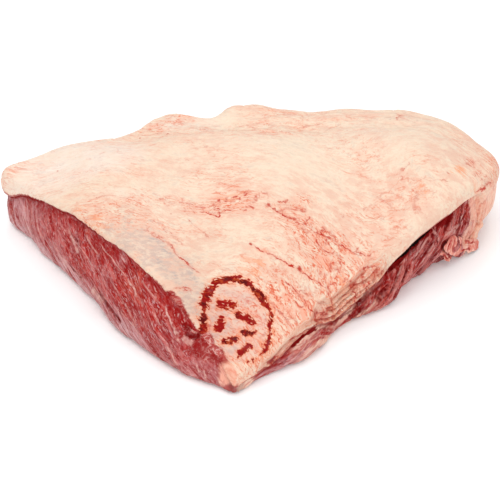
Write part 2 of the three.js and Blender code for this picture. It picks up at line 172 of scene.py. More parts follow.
# Dark slits in the muscle
SLITS = (
    (0.5, 1.0, (-81, -39, 18), (-79, -42, 16), (-75, -48, 15), (-71, -53, 13), (-67, -56, 9)),
    (0.4, 0.6, (-98, -10, 35), (-95, -14, 33), (-91, -20, 32)),
    (0.4, 0.8, (-100, -14, 13), (-96, -20, 13), (-91, -25, 13)),
    (0.9, 1.0, (-33, -76, 24), (-30, -77, 23), (-27, -77, 22), (-25, -75, 22), (-22, -74, 23)),
    (1.2, 0.8, (-33, -73, 28), (-31, -74, 26), (-29, -75, 25)),
    (0.6, 1.0, (116, 6, 20), (118, 7, 21), (119, 9, 23), (120, 10, 27), (122, 12, 30)),
    (1.1, 0.8, (117, 6, 17), (120, 8, 14), (122, 10, 13)),
    (0.3, 0.6, (119, 8, 18), (122, 11, 21), (124, 13, 26)),
    (0.3, 0.6, (121, 9, 15), (123, 11, 18), (125, 13, 23)),
    (0.6, 1.0, (94, -14, 15), (96, -12, 17), (98, -10, 18), (100, -8, 20), (102, -6, 22),
     (103, -4, 24)),
    (0.6, 1.0, (102, -9, 9), (104, -6, 12), (106, -5, 14), (108, -3, 15), (109, -1, 18),
     (110, 0, 20)),
    (0.4, 0.8, (96, -11, 20), (98, -8, 22), (100, -6, 25)),
    (0.5, 0.8, (90, -17, 18), (92, -14, 19), (94, -12, 21)),
    (0.4, 0.9, (105, -4, 19), (104, -4, 23), (103, -4, 26)),
    (0.6, 0.9, (89, -16, 16), (86, -19, 11), (84, -22, 6)),
    (0.6, 0.8, (82, -23, 16), (79, -27, 10), (77, -30, 6)),
    (0.5, 0.8, (99, -12, 12), (95, -15, 7), (93, -18, 3)),
    (0.8, 0.9, (22, -75, 11), (24, -73, 13), (29, -71, 19)),
    (0.4, 0.8, (33, -67, 15), (40, -59, 10), (46, -51, 7), (55, -45, 9), (61, -41, 11),
     (66, -36, 13), (71, -32, 14), (76, -29, 17)),
    (1.8, 0.9, (54, -48, 5), (59, -44, 7), (64, -42, 7)),
    (2.0, 0.9, (69, -38, 8), (72, -35, 9), (76, -32, 10)),
    (1.4, 1.0, (78, -25, 21), (80, -23, 22), (82, -20, 23)),
    (0.9, 1.0, (55, -45, 10), (58, -42, 11), (62, -39, 13), (65, -35, 14)),
    (1.1, 1.0, (67, -37, 11), (71, -35, 10), (73, -33, 11), (75, -32, 12), (76, -30, 15)),
    (1.2, 1.0, (75, -27, 22), (78, -25, 22), (80, -23, 24)),
)
# Where the red flesh ends on the cap, from its left edge to the tip
FLESH_EDGE = (
    (-62, -50, 47), (-54, -55, 46), (-46, -59, 44), (-42, -63, 43), (-38, -64, 41), (-36, -65, 39),
    (-33, -67, 36), (-32, -69, 34), (-30, -71, 31), (-28, -73, 27), (-26, -75, 24), (-23, -75, 23),
    (-20, -74, 22), (-18, -76, 21), (-17, -79, 19), (-15, -81, 18), (-12, -83, 16), (-10, -86, 14),
    (-8, -89, 13), (-7, -92, 12), (-6, -95, 10), (-5, -98, 4),
)
# Blood spots in the cap: radius in mm, strength, point on the plan
SPOTS = (
    (0.9, 1.0, (1, -28)), (1.3, 1.0, (27, -38)), (1.1, 1.0, (35, -63)), (1.2, 0.7, (11, -5)),
    (1.7, 0.3, (110, 18)), (0.9, 0.5, (86, 20)), (0.8, 0.5, (101, 33)), (0.7, 0.7, (-33, 2)),
    (1.3, 0.5, (51, -10)), (1.0, 0.6, (-47, 58)), (0.8, 0.6, (-63, 57)), (0.8, 0.5, (-108, 30)),
    (0.9, 0.4, (-88, 25)), (0.7, 0.6, (-41, -19)), (1.0, 0.5, (83, 72)),
)
# Soft pink patches in the cap: half length, half depth, turn in degrees, strength, middle
BLUSHES = (
    (17, 7, 20, 0.7, (-8, -5)), (34, 8, -32, 0.9, (40, -22)), (24, 17, -30, 1.0, (52, -40)),
    (26, 12, -42, 0.9, (24, -60)), (16, 9, 40, 0.8, (6, -82)), (20, 20, 0, 0.75, (-5, -70)),
    (9, 9, 0, 0.5, (-138, 40)), (34, 9, -40, 0.2, (-72, -20)), (12, 6, 10, 0.5, (-13, -3)),
    (8, 5, 0, 0.8, (28, -4)), (30, 6, -8, 0.3, (-44, -10)), (24, 11, 28, 0.35, (82, 2)),
    (60, 4, 0, 0.3, (-18, 57)), (40, 5, -4, 0.25, (48, 62)), (8, 16, 20, 0.35, (128, 24)),
    (9, 20, -10, 0.6, (140, 30)), (20, 8, 30, 0.7, (-46, 72)), (26, 4, -3, 0.25, (-26, 60)),
    (12, 4, 5, 0.3, (2, 68)), (14, 4, 0, 0.25, (38, 69)), (8, 5, 70, 0.3, (124, 30)),
    (14, 6, -45, 0.4, (-82, -18)), (8, 4, 70, 0.4, (128, 21)), (30, 6, 0, 0.4, (20, 86)),
)
# The same for the palest fat; strengths over 1 add near-white, partly a painted highlight
CREAMS = (
    (60, 26, 0, 0.9, (24, 38)), (90, 16, -2, 0.9, (0, 68)), (34, 12, -28, 0.7, (-66, -2)),
    (58, 30, 8, 1.1, (-100, 34)), (17, 6, 12, 1.3, (-108, 33)), (12, 5, 0, 1.2, (-91, 39)),
    (30, 18, 20, 0.6, (78, 36)), (20, 9, -20, 0.7, (2, -24)), (16, 9, -30, 0.6, (-4, -44)),
    (22, 8, 0, 0.5, (-36, 4)),
)
# Middle line of the thin grey film by the cut edge
FILMS = ((-66, -27), (-57, -36), (-46, -44), (-35, -53), (-24, -63), (-14, -70))
# Grey bruises in that film, as soft patches
BRUISES = (
    (4, 2.5, -30, 1.0, (-50, -39)), (4, 3.5, -40, 0.8, (-42, -44)), (3, 2.5, -40, 0.8, (-46, -52)),
    (4, 2.5, -40, 1.0, (-39, -56)), (6, 2.5, -20, 0.6, (-27, -53)), (5, 2.5, -50, 0.5, (-20, -58)),
)
# Lower edge of the cap on the near right face: along that face, height
NEAR_EDGE = (
    (0, 4), (13, 5), (25, 7), (37, 14), (45, 18), (55, 16), (68, 8), (81, 12), (96, 18), (113, 27),
    (131, 33), (149, 37), (166, 40), (180, 41),
)
# Torn strands on the near right face: radius, paleness, then points (along, height, out)
STRANDS = (
    (1.1, 0.6, (147, 19, 0.8), (154, 25, 1.0), (160, 33, 0.6)),
    (1.2, 0.0, (160, 16, 0.6), (164, 24, 0.8), (168, 32, 0.6)),
    (0.9, 1.0, (142.5, 31, 1.0), (144, 27, 1.4), (146, 22, 1.0)),
    (1.0, 0.2, (136, 17, 0.6), (141, 21, 1.0), (146, 26, 0.6)),
    (0.9, 0.5, (116, 8, 0.6), (124, 16, 1.0), (133, 25, 0.6)),
    (0.9, 0.3, (126, 6, 0.8), (134, 13, 1.0), (142, 21, 0.8)),
    (0.9, 0.7, (104, 4, 0.6), (109, 11, 1.0), (116, 19, 0.6)),
    (1.1, 1.0, (117, 28, 0.6), (118, 25, 1.0), (121, 21, 0.6)),
)
# Bars of the printed mark: middle, half length, half width, tilt
MARK_BARS = (
    (-4, 9, 5, 1.2, -14), (-9, 1, 3, 1.3, 60), (5, 2, 5, 1.0, -30), (-5, -7, 4, 0.8, 4),
    (6, -5, 4, 0.7, -8), (1, -13, 4, 0.9, 24),
)
# Soft orange patches in the cap
ORANGES = (
    (5, 4, 20, 1.0, (117, 21)), (7, 2, -50, 0.8, (122, 15)), (6, 3, -40, 0.6, (-92, -6)),
    (7, 3, -45, 0.7, (-82, -19)), (5, 3, -45, 0.6, (-75, -26)), (7, 4, -40, 0.5, (2, -43)),
    (4, 3, 0, 0.7, (6, -38)), (5, 3, -60, 0.7, (44, -50)), (8, 3, -60, 0.6, (52, -44)),
    (6, 4, 40, 0.6, (8, -78)), (4, 3, 0, 0.6, (96, 8)), (10, 3, 25, 0.5, (-12, -4)),
)
# Torn flaps at the thick end: waves, swing in mm, bulge in mm, root line, free edge
FLAPS = (
    (2.4, 0.5, 1.0, ((113, 2, 19), (116, 5, 18), (121, 8, 13)),
     ((111, -3, 21), (109, -5, 19), (110, -5, 15), (112, -3, 11), (115, -2, 9), (118, 0, 6),
      (120, 2, 7), (121, 4, 10), (121, 5, 13))),
    (2.2, 0.6, 1.2, ((120, 8, 10), (124, 12, 8), (129, 15, 6), (133, 19, 1)),
     ((119, 2, 10), (121, 3, 6), (124, 5, 6), (126, 6, 3), (129, 8, 3), (132, 11, 1), (133, 13, 2),
      (132, 14, 4))),
    (2.2, 0.5, 0.4, ((109, 0, 13), (113, 3, 9), (117, 6, 5)),
     ((107, -6, 13), (110, -5, 10), (112, -4, 6), (114, -2, 5), (116, 1, 6))),
)
# Hollows and folds in the flaps: the hollows painted dark red as shade, the folds pale as a
# painted highlight
SHADED_HOLLOWS = (
    (0.6, 1.0, (121, 2, 9), (124, 4, 8), (127, 6, 7)), (0.4, 0.9, (120, 3, 12), (123, 5, 11)),
    (0.4, 0.9, (125, 6, 11), (127, 8, 9), (130, 11, 8)), (0.35, 0.7, (123, 7, 12), (127, 9, 10)),
    (0.35, 0.8, (114, 0, 20), (112, -3, 15), (113, -4, 11)),
    (0.35, 0.8, (117, 4, 18), (115, 0, 14), (116, -2, 10)),
    (0.5, 0.9, (109, -4, 12), (112, -3, 8), (115, -1, 7)),
)
LIT_FOLDS = (
    (0.3, 0.6, (115, 2, 19), (114, -2, 13), (114, -3, 10)),
    (0.3, 0.6, (119, 5, 16), (118, 1, 11), (118, 0, 8)),
    (0.3, 0.6, (122, 4, 11), (126, 7, 9), (129, 9, 7)),
    (0.3, 0.7, (122, 3, 7), (126, 5, 5), (130, 9, 3)),
)
# Further strands: from and to along the near right face, how many
LOOSE_STRANDS = (88, 162, 38)
# Slope of the fibres along each face: place in mm from its start, degrees down from level
SLOPES = (
    ((0, 70), (40, 50), (75, 36), (120, 44), (150, 46), (190, 34)),
    ((0, -4), (50, -14), (75, -32), (105, -40), (135, -42), (150, -54), (165, -66), (190, -72)),
    ((0, 30), (190, 20)),
)
FRONT = (0.0, -0.73, 0.68)  # towards a viewer in front and above
# Near tip's marks, see tip_marks(): middle and radii in mm
TIP_MARKS = (
    ((-22.0, -80.0, 18.0), (9.5, 8.0, 9.5)), ((-10.0, -91.0, 9.5), (7.0, 7.5, 7.0)),
    ((3.0, -94.0, 3.5), (11.0, 6.0, 6.0)), ((-9.5, -96.0, 2.0), (3.6, 3.5, 5.0)),
)
# Soft lights: name, place in metres, size, share of the key light's power
SOFTBOXES = (
    ("key", (-0.2, 0.0, 1.1), 0.9, 1.0), ("back fill", (0.1, 1.0, 0.8), 0.7, 0.5),
    ("right fill", (0.8, -0.8, 0.6), 0.6, 0.72), ("left fill", (-0.85, -0.75, 0.55), 0.6, 0.45),
    ("spark", (0.1, -0.5, 1.1), 0.07, 0.12),
)
# Seeds of the wobble in each kind of line
LINE_SEEDS = {"vessel": 61, "thread": 64, "slit": 66, "lit_fold": 86, "hollow": 88}
ABOVE = (0.0, 0.0, 1.0)  # towards a viewer straight above
LONE_STRAND = 144  # mm along the near right face, where a pale strand crosses the hollow
FAR = 1e9  # mm, past every line
TRIANGLES = 190_000  # in each of the two big pieces
CAP_VOXELS = 1.07  # how much coarser the cap's mesh starts
DARK_FLESH = (0.25, 0.006, 0.006)
# Near-black red laid as painted shade in hollows and slits
PAINTED_SHADE_RED = (0.17, 0.002, 0.002)


def measure(name, description, millimetres):
    """A length that the maker may change."""
    return FloatProperty(
        name=name, description=description, default=millimetres * MM, unit="LENGTH"
    )


def tint(name, description, colour):
    """A colour that the maker may change."""
    return FloatVectorProperty(
        name=name, description=description, default=colour, subtype="COLOR", min=0, max=1
    )


class PicanhaLean(bpy.types.PropertyGroup):
    """Sizes and colours of the lean muscle."""

    voxel: measure("Detail", "Edge length of the muscle's mesh", 0.85)
    bundle: measure("Bundle width", "Width of a bundle of muscle fibres", 3.4)
    relief: measure("Bundle relief", "How far the bundles stand out of the cut face", 0.5)
    muscle: tint("Muscle", "Colour of the raw muscle", (0.455, 0.036, 0.029))
    # Deep muscle is also laid as painted shade under the cap's edge
    deep: tint("Deep muscle", "Colour in its grooves and under the fat", (0.275, 0.006, 0.006))
    # Sinew is also laid as painted glints and as a painted highlight on raised bundles
    sinew: tint("Sinew", "Colour of the sinew between the bundles", (0.68, 0.37, 0.33))
    # Silverskin is also laid as painted glints along the fibres
    bloom: tint("Silverskin", "Colour of the pale film at the lower edge", (0.61, 0.35, 0.355))


class PicanhaFat(bpy.types.PropertyGroup):
    """Sizes and colours of the fat cap."""

    voxel: measure("Detail", "Edge length of the cap's mesh", 0.8)
    fat: tint("Fat", "Colour of the fat", (0.735, 0.50, 0.383))
    cream: tint("Cream fat", "Colour of the thickest, palest fat", (0.79, 0.645, 0.50))
    blush: tint("Blush", "Colour of the fat where blood shows through", (0.785, 0.34, 0.23))
    blood: tint("Vessels", "Colour of the fine vessels", (0.46, 0.026, 0.012))
    film: tint("Grey film", "Colour of the thin film near the cut edge", (0.57, 0.41, 0.345))
    ink: tint("Ink", "Colour of the plain ring printed near the tip", (0.27, 0.002, 0.0015))


class PicanhaFlaps(bpy.types.PropertyGroup):
    """Sizes of the torn flaps."""

    voxel: measure("Detail", "Edge length of the flaps' mesh", 0.35)
    thickness: measure("Thickness", "How thick a flap is at its root", 1.1)


class PicanhaStage(bpy.types.PropertyGroup):
    """The camera, lights and floor."""

    elevation: FloatProperty(
        name="Elevation",
        description="Angle of the camera above the horizon",
        default=math.radians(43),
        subtype="ANGLE",
    )
    distance: measure("Distance", "From the camera to the point that it looks at", 655.5)
    lens: FloatProperty(
        name="Lens", description="Focal length in mm", default=85.0, subtype="DISTANCE_CAMERA"
    )
    key: FloatProperty(
        name="Key light", description="Power of the overhead softbox in watts", default=5.2
    )
    floor: tint("Floor", "Colour of the floor", (0.98, 0.98, 0.98))
    seed: IntProperty(name="Seed", description="Seed of every random draw", default=7)


# Noise


def lattice(cells, seed):
    """A repeatable value from -1 to 1 for each whole-numbered cell."""
    cells = cells.astype(np.int64)
    x, y, z = cells.T
    mixed = x * 73856093 ^ y * 19349663 ^ z * 83492791  # large primes scramble the cells
    mixed = (mixed ^ seed * 40503) & 0xFFFFFFFF
    mixed = (mixed ^ (mixed >> 13)) * 1274126177 & 0xFFFFFFFF
    mixed = (mixed ^ (mixed >> 16)) & 0xFFFF
    return mixed / 32767.5 - 1.0


def lumps(p, seed):
    """Smooth noise from -1 to 1 with lumps one unit across."""
    base = np.floor(p)
    f = p - base
    f = f * f * f * (f * (f * 6 - 15) + 10)
    total = np.zeros(len(p))
    for corner in range(8):
        step = np.array([corner & 1, corner >> 1 & 1, corner >> 2 & 1])
        share = np.prod(np.where(step, f, 1 - f), axis=1)
        total += share * lattice(base + step, seed)
    return total


def layered(p, octaves, seed):
    """Noise of ever finer lumps."""
    return sum(lumps(p * 2**k, seed + k) / 2**k for k in range(octaves))


def scatter(p, size, octaves, seed, axes=3):
    """Layered noise of its own for each axis."""
    return np.stack([layered(p / size, octaves, seed + k) for k in range(axes)], 1)


def ridges(p, seed):
    """From 0 to 1, with sharp crests where smooth noise crosses zero."""
    return 1 - np.minimum(1, np.abs(lumps(p, seed)) * 2.2)


def furrows(p, size, seed):
    """From -1 to 1, lumps of the given size with sharp furrows between them."""
    return 1 - 2 * ridges(p / np.array(size, float), seed)


def ease(value, low, high):
    """0 below low, 1 above high, smooth between."""
    f = np.clip((value - low) / (high - low), 0, 1)
    return f * f * (3 - 2 * f)


def fade(value, low, high):
    """1 below low, 0 above high, smooth between."""
    return 1 - ease(value, low, high)


def between(value, start, full, fading, end):
    """Rises from start to full, falls from fading to end."""
    return ease(value, start, full) * fade(value, fading, end)


def to_lines(p, points):
    """Distance from each point to a line through the given points, and the share along it."""
    side, along = beside(p, points, np.zeros(p.shape[1]))
    return np.abs(side), along


def beside(p, points, out):
    """Distance to the side of a line, seen from a direction, and the share along the line."""
    best = np.full(len(p), FAR)
    signed, along = np.zeros(len(p)), np.zeros(len(p))
    flat = np.eye(len(out)) - np.outer(out, out)
    points = np.array(points, float) @ flat
    lengths = np.linalg.norm(points[1:] - points[:-1], axis=1)
    run = 0.0
    for a, b, length in zip(points[:-1], points[1:], lengths):
        d = p @ flat - a
        t = np.clip((d @ (b - a)) / length**2, 0, 1)
        away = np.linalg.norm(d - t[:, None] * (b - a), axis=1)
        nearer = away < best
        best = np.where(nearer, away, best)
        turn = np.cross(b - a, d) @ out if len(out) == 3 else away
        signed = np.where(nearer, np.where(turn < 0, -away, away), signed)
        along = np.where(nearer, (run + t * length) / lengths.sum(), along)
        run += length
    return signed, along


def turned(d, angle):
    """The same plan offsets, seen from axes turned by an angle in degrees."""
    c, s = math.cos(math.radians(angle)), math.sin(math.radians(angle))
    return d[0] * c + d[1] * s, -d[0] * s + d[1] * c


def patches(xy, table):
    """From 0 to 1 inside soft oval patches on the plan."""
    total = np.zeros(len(xy))
    for across, deep, angle, strength, middle in table:
        u, v = turned((xy - np.array(middle, float)).T, angle)
        u, v = u / across, v / deep
        total = np.maximum(total, strength * np.exp(-((u * u + v * v) ** 1.5)))
    return total


def flow(xy):
    """Two coordinates over the plan, along and across the streaks of the cap."""
    table = np.array(STREAKS, float)
    posts, angles = table[:, :2], np.radians(table[:, 2])
    reach, stiffness = 34.0, 0.35

    def bumps(at):
        d = at[:, None, :] - posts[None]
        return d, np.exp(-(d**2).sum(2) / (2 * reach**2))

    d, weight = bumps(posts)
    rows = []
    for axis in (0, 1):
        flat = np.zeros((len(posts), 2))
        flat[:, axis] = 1
        rows.append(np.hstack([flat, -d[:, :, axis] / reach * weight]))
    rows = np.vstack(rows)
    hold = stiffness * np.eye(rows.shape[1])
    hold[0, 0] = hold[1, 1] = 0
    _, weight = bumps(xy)
    result = []
    for slope_x, slope_y in ((np.cos(angles), np.sin(angles)), (-np.sin(angles), np.cos(angles))):
        wanted = np.concatenate([slope_x, slope_y, np.zeros(len(hold))])
        shares = np.linalg.lstsq(np.vstack([rows, hold]), wanted, rcond=None)[0]
        result.append(xy @ shares[:2] + weight @ (shares[2:] * reach))
    return np.stack(result, 1)


# Mesh work


def link(obj):
    bpy.context.scene.collection.objects.link(obj)
    return obj


def triples(items, key):
    """Three numbers for each of a mesh's items."""
    values = np.empty(len(items) * 3, np.float32)
    items.foreach_get(key, values)
    return values.reshape(-1, 3).astype(float)


def shape_of(mesh):
    """Where each vertex is, in mm, and which way it faces."""
    return triples(mesh.vertices, "co") / MM, triples(mesh.vertex_normals, "vector")


def set_vertices_mm(mesh, p):
    mesh.vertices.foreach_set("co", (p * MM).astype(np.float32).ravel())
    mesh.update()


def note(mesh, **marks):
    """Keeps values for each vertex, for the material to read."""
    for name, values in marks.items():
        values = np.asarray(values, np.float32)
        kind, key = ("FLOAT_VECTOR", "vector") if values.ndim == 2 else ("FLOAT", "value")
        attribute = mesh.attributes.new(name, kind, "POINT")
        attribute.data.foreach_set(key, values.ravel())


def relief_of(mesh, rounds=12):
    """How far each vertex stands above (or, below zero, lies under) its surroundings in mm."""
    p, n = shape_of(mesh)
    edges = np.empty(len(mesh.edges) * 2, np.int32)
    mesh.edges.foreach_get("vertices", edges)
    a, b = edges.reshape(-1, 2).T
    count = np.bincount(edges, minlength=len(p))[:, None]
    q = p
    for _ in range(rounds):
        sums = [
            np.bincount(a, q[b, k], len(p)) + np.bincount(b, q[a, k], len(p)) for k in range(3)
        ]
        q = np.stack(sums, 1) / count
    return ((p - q) * n).sum(1)


def solid_tree(node):
    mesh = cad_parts[node].data
    corners = [v.co for v in mesh.vertices]
    return BVHTree.FromPolygons(corners, [tuple(face.vertices) for face in mesh.polygons])


def gap_to(tree, p, reach):
    """Distance from each point to a solid's skin in mm, never more than the reach."""
    gaps = np.full(len(p), float(reach))
    for i, point in enumerate(p * MM):
        found = tree.find_nearest(point, reach * MM)[3]
        if found is not None:
            gaps[i] = found / MM
    return gaps


def applied(obj):
    """Turns an object's modifiers into its mesh."""
    evaluated = obj.evaluated_get(bpy.context.evaluated_depsgraph_get())
    mesh = bpy.data.meshes.new_from_object(evaluated)
    mesh.name = obj.name
    obj.modifiers.clear()
    obj.data = mesh
    return obj


def grown_together(name, mesh, voxel, smoothing, rounding=0):
    """One closed skin around everything in a mesh."""
    obj = link(bpy.data.objects.new(name, mesh))
    if rounding:
        round_off = obj.modifiers.new("round", "SUBSURF")
        round_off.levels = round_off.render_levels = rounding
    grid = obj.modifiers.new("grid", "REMESH")
    grid.mode = "VOXEL"
    grid.voxel_size = voxel
    soften = obj.modifiers.new("soften", "SMOOTH")
    soften.factor = 0.5
    soften.iterations = smoothing
    return applied(obj)


def joined(mesh, shells, weld=False):
    """Puts closed shells into a mesh."""
    bm = bmesh.new()
    bm.from_mesh(mesh)
    if weld:
        bmesh.ops.remove_doubles(bm, verts=bm.verts, dist=1e-6)
    for points, faces in shells:
        corners = [bm.verts.new(tuple(point * MM)) for point in points]
        for face in faces:
            bm.faces.new([corners[i] for i in face])
    bm.to_mesh(mesh)
    bm.free()
    return mesh


def worked_copy(node, voxel, smoothing, shells=()):
    """A finely meshed copy of a solid, its facets rounded and the shells grown into it."""
    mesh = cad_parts[node].data.copy()
    mesh.materials.clear()
    return grown_together(node + "_piece", joined(mesh, shells, True), voxel, smoothing, 2)


def thin_out(obj, hidden):
    """Uses fewer faces where nothing shows, so that the piece isn't too heavy."""
    group = obj.vertex_groups.new(name="hidden")
    for i in np.flatnonzero(hidden):
        group.add([int(i)], 1.0, "REPLACE")
    fewer = obj.modifiers.new("fewer", "DECIMATE")
    fewer.vertex_group = group.name
    fewer.ratio = TRIANGLES / sum(len(face.vertices) - 2 for face in obj.data.polygons)
    applied(obj)
    obj.vertex_groups.clear()


def finish_piece(obj, material, slot, *nodes):
    """Gives a piece its material, hangs it on the root body and hides the frame's solids that it
    replaces.
    """
    mesh = obj.data
    mesh.polygons.foreach_set("use_smooth", np.ones(len(mesh.polygons), bool))
    mesh.materials.append(material)
    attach(obj, "root")
    if nodes:
        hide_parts(*nodes)


def rounded(points, steps=8):
    """A rounded path through a few points."""
    p = np.array(points, float)
    p = np.vstack([2 * p[0] - p[1], p, 2 * p[-1] - p[-2]])
    t = np.linspace(0, 1, steps, endpoint=False)[:, None]
    parts = [
        b
        + (c - a) / 2 * t
        + (2 * a - 5 * b + 4 * c - d) / 2 * t**2
        + (3 * (b - c) + d - a) / 2 * t**3
        for a, b, c, d in zip(p[:-3], p[1:-2], p[2:-1], p[3:])
    ]
    return np.vstack([*parts, p[-2:-1]])


def evenly(path, count):
    """The same path with its points spread evenly."""
    share = np.linspace(0, 1, len(path))
    return np.stack([np.interp(np.linspace(0, 1, count), share, axis) for axis in path.T], 1)


def unit(v):
    return v / np.linalg.norm(v, axis=-1, keepdims=True)


def tube(points, radius):
    """A closed, flattened strand that tapers to both of its ends."""
    sides, flatness = 8, 0.6
    path = rounded(points)
    ahead = unit(np.gradient(path, axis=0))
    across = unit(np.cross(ahead, (0.6, -0.75, 0.2)))
    over = np.cross(across, ahead)
    share = np.linspace(0, 1, len(path))
    girth = radius * (0.12 + 0.88 * np.sqrt(np.clip(4 * share * (1 - share), 0, 1)))
    angles = np.arange(sides) * 2 * math.pi / sides
    rings = path[:, None] + girth[:, None, None] * (
        np.cos(angles)[None, :, None] * across[:, None]
        + flatness * np.sin(angles)[None, :, None] * over[:, None]
    )
    faces = []
    for i in range(0, (len(path) - 1) * sides, sides):
        for j in range(sides):
            k = (j + 1) % sides
            faces.append((i + j, i + k, i + sides + k, i + sides + j))
    last = (len(path) - 1) * sides
    faces += [tuple(range(sides))[::-1], tuple(range(last, last + sides))]
    return rings.reshape(-1, 3), faces


def leaf(root, edge, waves, swing, bulge, thick, phase):
    """A closed, ruffled leaf from its root line to its free edge."""
    rows, columns = 9, 40
    a, b = (evenly(rounded(line), columns) for line in (root, edge))
    u = np.linspace(0, 1, columns)[:, None, None]
    v = np.linspace(0, 1, rows)[None, :, None]
    middle = a[:, None] * (1 - v) + b[:, None] * v

    def facing(sheet):
        return unit(np.cross(np.gradient(sheet, axis=0), np.gradient(sheet, axis=1)))

    wander = layered(middle.reshape(-1, 3) / 6, 2, 82).reshape(columns, rows, 1)
    ruffle = np.sin(2 * math.pi * (waves * u + phase + 0.35 * wander) + 1.1 * v)
    lift = swing * ruffle * v**0.6 + bulge * np.sin(math.pi * v) * np.sin(math.pi * u) ** 0.5
    middle = middle + facing(middle) * np.sign(facing(middle)[..., 1:2].mean()) * -lift
    side = facing(middle) * thick / 2 * (1 - 0.5 * v)
    points = np.concatenate([(middle + side).reshape(-1, 3), (middle - side).reshape(-1, 3)])
    half = rows * columns
    at = np.arange(half).reshape(columns, rows).tolist()
    faces = []
    for here, there in zip(at, at[1:]):
        for j in range(rows - 1):
            quad = (here[j], there[j], there[j + 1], here[j + 1])
            faces += [quad, tuple(half + k for k in quad[::-1])]
    rim = [line[0] for line in at] + at[-1][1:]
    rim += [line[-1] for line in at[-2::-1]] + at[0][-2:0:-1]
    for k, m in zip(rim, rim[1:] + rim[:1]):
        faces.append((m, k, half + k, half + m))
    return points, faces


# Grain of the muscle


def wall_directions():
    """Unit vectors along the left face, the right face and the back, seen from above."""
    left, tip, right = (np.array(c) for c in (LEFT_CORNER, NEAR_TIP, RIGHT_CORNER))
    return [unit(b - a) for a, b in ((left, tip), (tip, right), (right, left))]


def near_place(p):
    """Place of each point along the near right face, and its height over the cap's edge."""
    along = (p[:, :2] - np.array(NEAR_TIP)) @ wall_directions()[1]
    return along, p[:, 2] - np.interp(along, *np.array(NEAR_EDGE, float).T)


def sides_of(p):
    """From 0 to 1, how much each point belongs to the left face and to the near right face."""
    angle = np.degrees(np.arctan2(p[:, 1] - MIDDLE[1], p[:, 0] - MIDDLE[0])) % 360
    back_from, left_from, right_from, soft = 4, 170, 265, 2.5
    to_left = (left_from - soft, left_from + soft)
    left = between(angle, *to_left, right_from - soft, right_from + soft)
    back = between(angle, back_from - soft, back_from + soft, *to_left)
    return left, 1 - left - back


def grain(p):
    """Coordinates in mm that follow the fibres: along, across and depth."""
    left, right = sides_of(p)
    wander = scatter(p, 28, 2, 11, 2) * 2.4 + scatter(p, 7, 1, 13, 2) * 0.7
    result = np.zeros((len(p), 3))
    starts = (LEFT_CORNER, NEAR_TIP, RIGHT_CORNER)
    for share, start, direction, slope in zip(
        (left, right, 1 - left - right), starts, wall_directions(), SLOPES
    ):
        d = p[:, :2] - np.array(start)
        s = d @ direction + wander[:, 0]
        z = p[:, 2] + wander[:, 1]
        steps = np.arange(-20, 211.0)
        turns = np.radians(np.interp(steps, *np.array(slope, float).T))
        turn = np.interp(s, steps, turns)
        along = s * np.cos(turn) - z * np.sin(turn)
        across = z * np.cos(turn) + np.interp(s, steps, np.cumsum(np.sin(turns)))
        depth = d @ np.array([-direction[1], direction[0]])
        result += share[:, None] * np.stack([along, across, depth], 1)
    return result


def on_near_face(tree, along, height, out):
    """A point off the near right face, from its place along the face and its height."""
    direction = wall_directions()[1]
    away = Vector((direction[1], -direction[0], 0))
    foot = Vector((*(np.array(NEAR_TIP) + direction * along), height))
    outside = foot + away * 60
    hit = tree.ray_cast(outside * MM, -away)[0]
    if hit is None:
        raise RuntimeError(f"no muscle at {along:.0f} mm along and {height:.0f} mm up")
    return np.array(hit) / MM + np.array(away) * out


def torn_strands(tree, rng):
    """Strands that hang on the torn face: radius, paleness and path of each."""
    strands = [
        (radius, pale, [on_near_face(tree, *point) for point in points])
        for radius, pale, *points in STRANDS
    ]
    edge, slope = np.array(NEAR_EDGE, float).T, np.array(SLOPES[1], float).T
    for along in np.linspace(*LOOSE_STRANDS):
        s, z, points = along, rng.uniform(1.5, 12), []
        step = rng.uniform(5, 8)
        for _ in range(4):
            points.append(on_near_face(tree, s, z, rng.uniform(-0.1, 0.5)))
            turn = math.radians(-np.interp(s, *slope) + rng.uniform(-5, 5))
            s += step * math.cos(turn)
            z = min(z + step * math.sin(turn), np.interp(s, *edge) - 4)
        strands.append((rng.uniform(0.7, 1.05), rng.choice([0, 0, 0.3, 0.6]), points))
    return strands


def tucked(p):
    """How far the lower edge of the torn end is tucked in, in mm."""
    place, _ = near_place(p)
    _, right = sides_of(p)
    places = (106, 112, 118, 126, 133, 142, 155, 166)
    deep = np.interp(place, places, (0, 2.5, 4.5, 3, 1.5, 3, 3.5, 1))
    away = wall_directions()[1]
    shift = drawn_in(p)
    low = right * deep * fade(p[:, 2], 3, 15)
    shift[:, 0] -= low * away[1]
    shift[:, 1] += low * away[0]
    return shift


def drawn_in(p):
    """How far the foot of the right end and of the tip is drawn in under the cap, in mm."""
    shift, end_by, tip_by, inward = np.zeros_like(p), -5.5, 1.7, np.array([-0.62, 0.78])
    shift[:, 0] = end_by * (ease(p[:, 0], 122, 136) * fade(p[:, 2], 4, 18) * fade(p[:, 1], 40, 60))
    place, _ = near_place(p)
    tip = between(place, -2, 5, 18, 32) * fade(p[:, 2], 5, 13)
    shift[:, :2] += (tip_by * tip * sides_of(p)[1])[:, None] * inward
    return shift


def closed_up(gap, n):
    """A push that closes the crack between the muscle and the cap."""
    most = 1.1
    return n * (most * fade(gap, 0.5, 2.6))[:, None]


def hollow_end(p):
    """From 0 to 1, where the cap overhangs the torn end of the near right face."""
    place, _ = near_place(p)
    _, right = sides_of(p)
    return right * between(place, 103, 109, 162, 167) * ease(np.abs(place - LONE_STRAND), 1.0, 2.6)


def under_rim(tree, p, where):
    """How far each point lies under the cap's overhang, seen from the front, in mm."""
    lifts, clear = (0, 0.6, 1.2, 1.8, 2.5, 3.3, 4.2, 5.2, 6.4, 7.8), 9.0
    under = np.full(len(p), clear)
    towards = Vector(FRONT).normalized()
    for i in np.flatnonzero(where):
        for lift in lifts:
            if tree.ray_cast(Vector((p[i] + (0, 0, lift)) * MM), towards)[0] is not None:
                under[i] = lift
                break
    return under


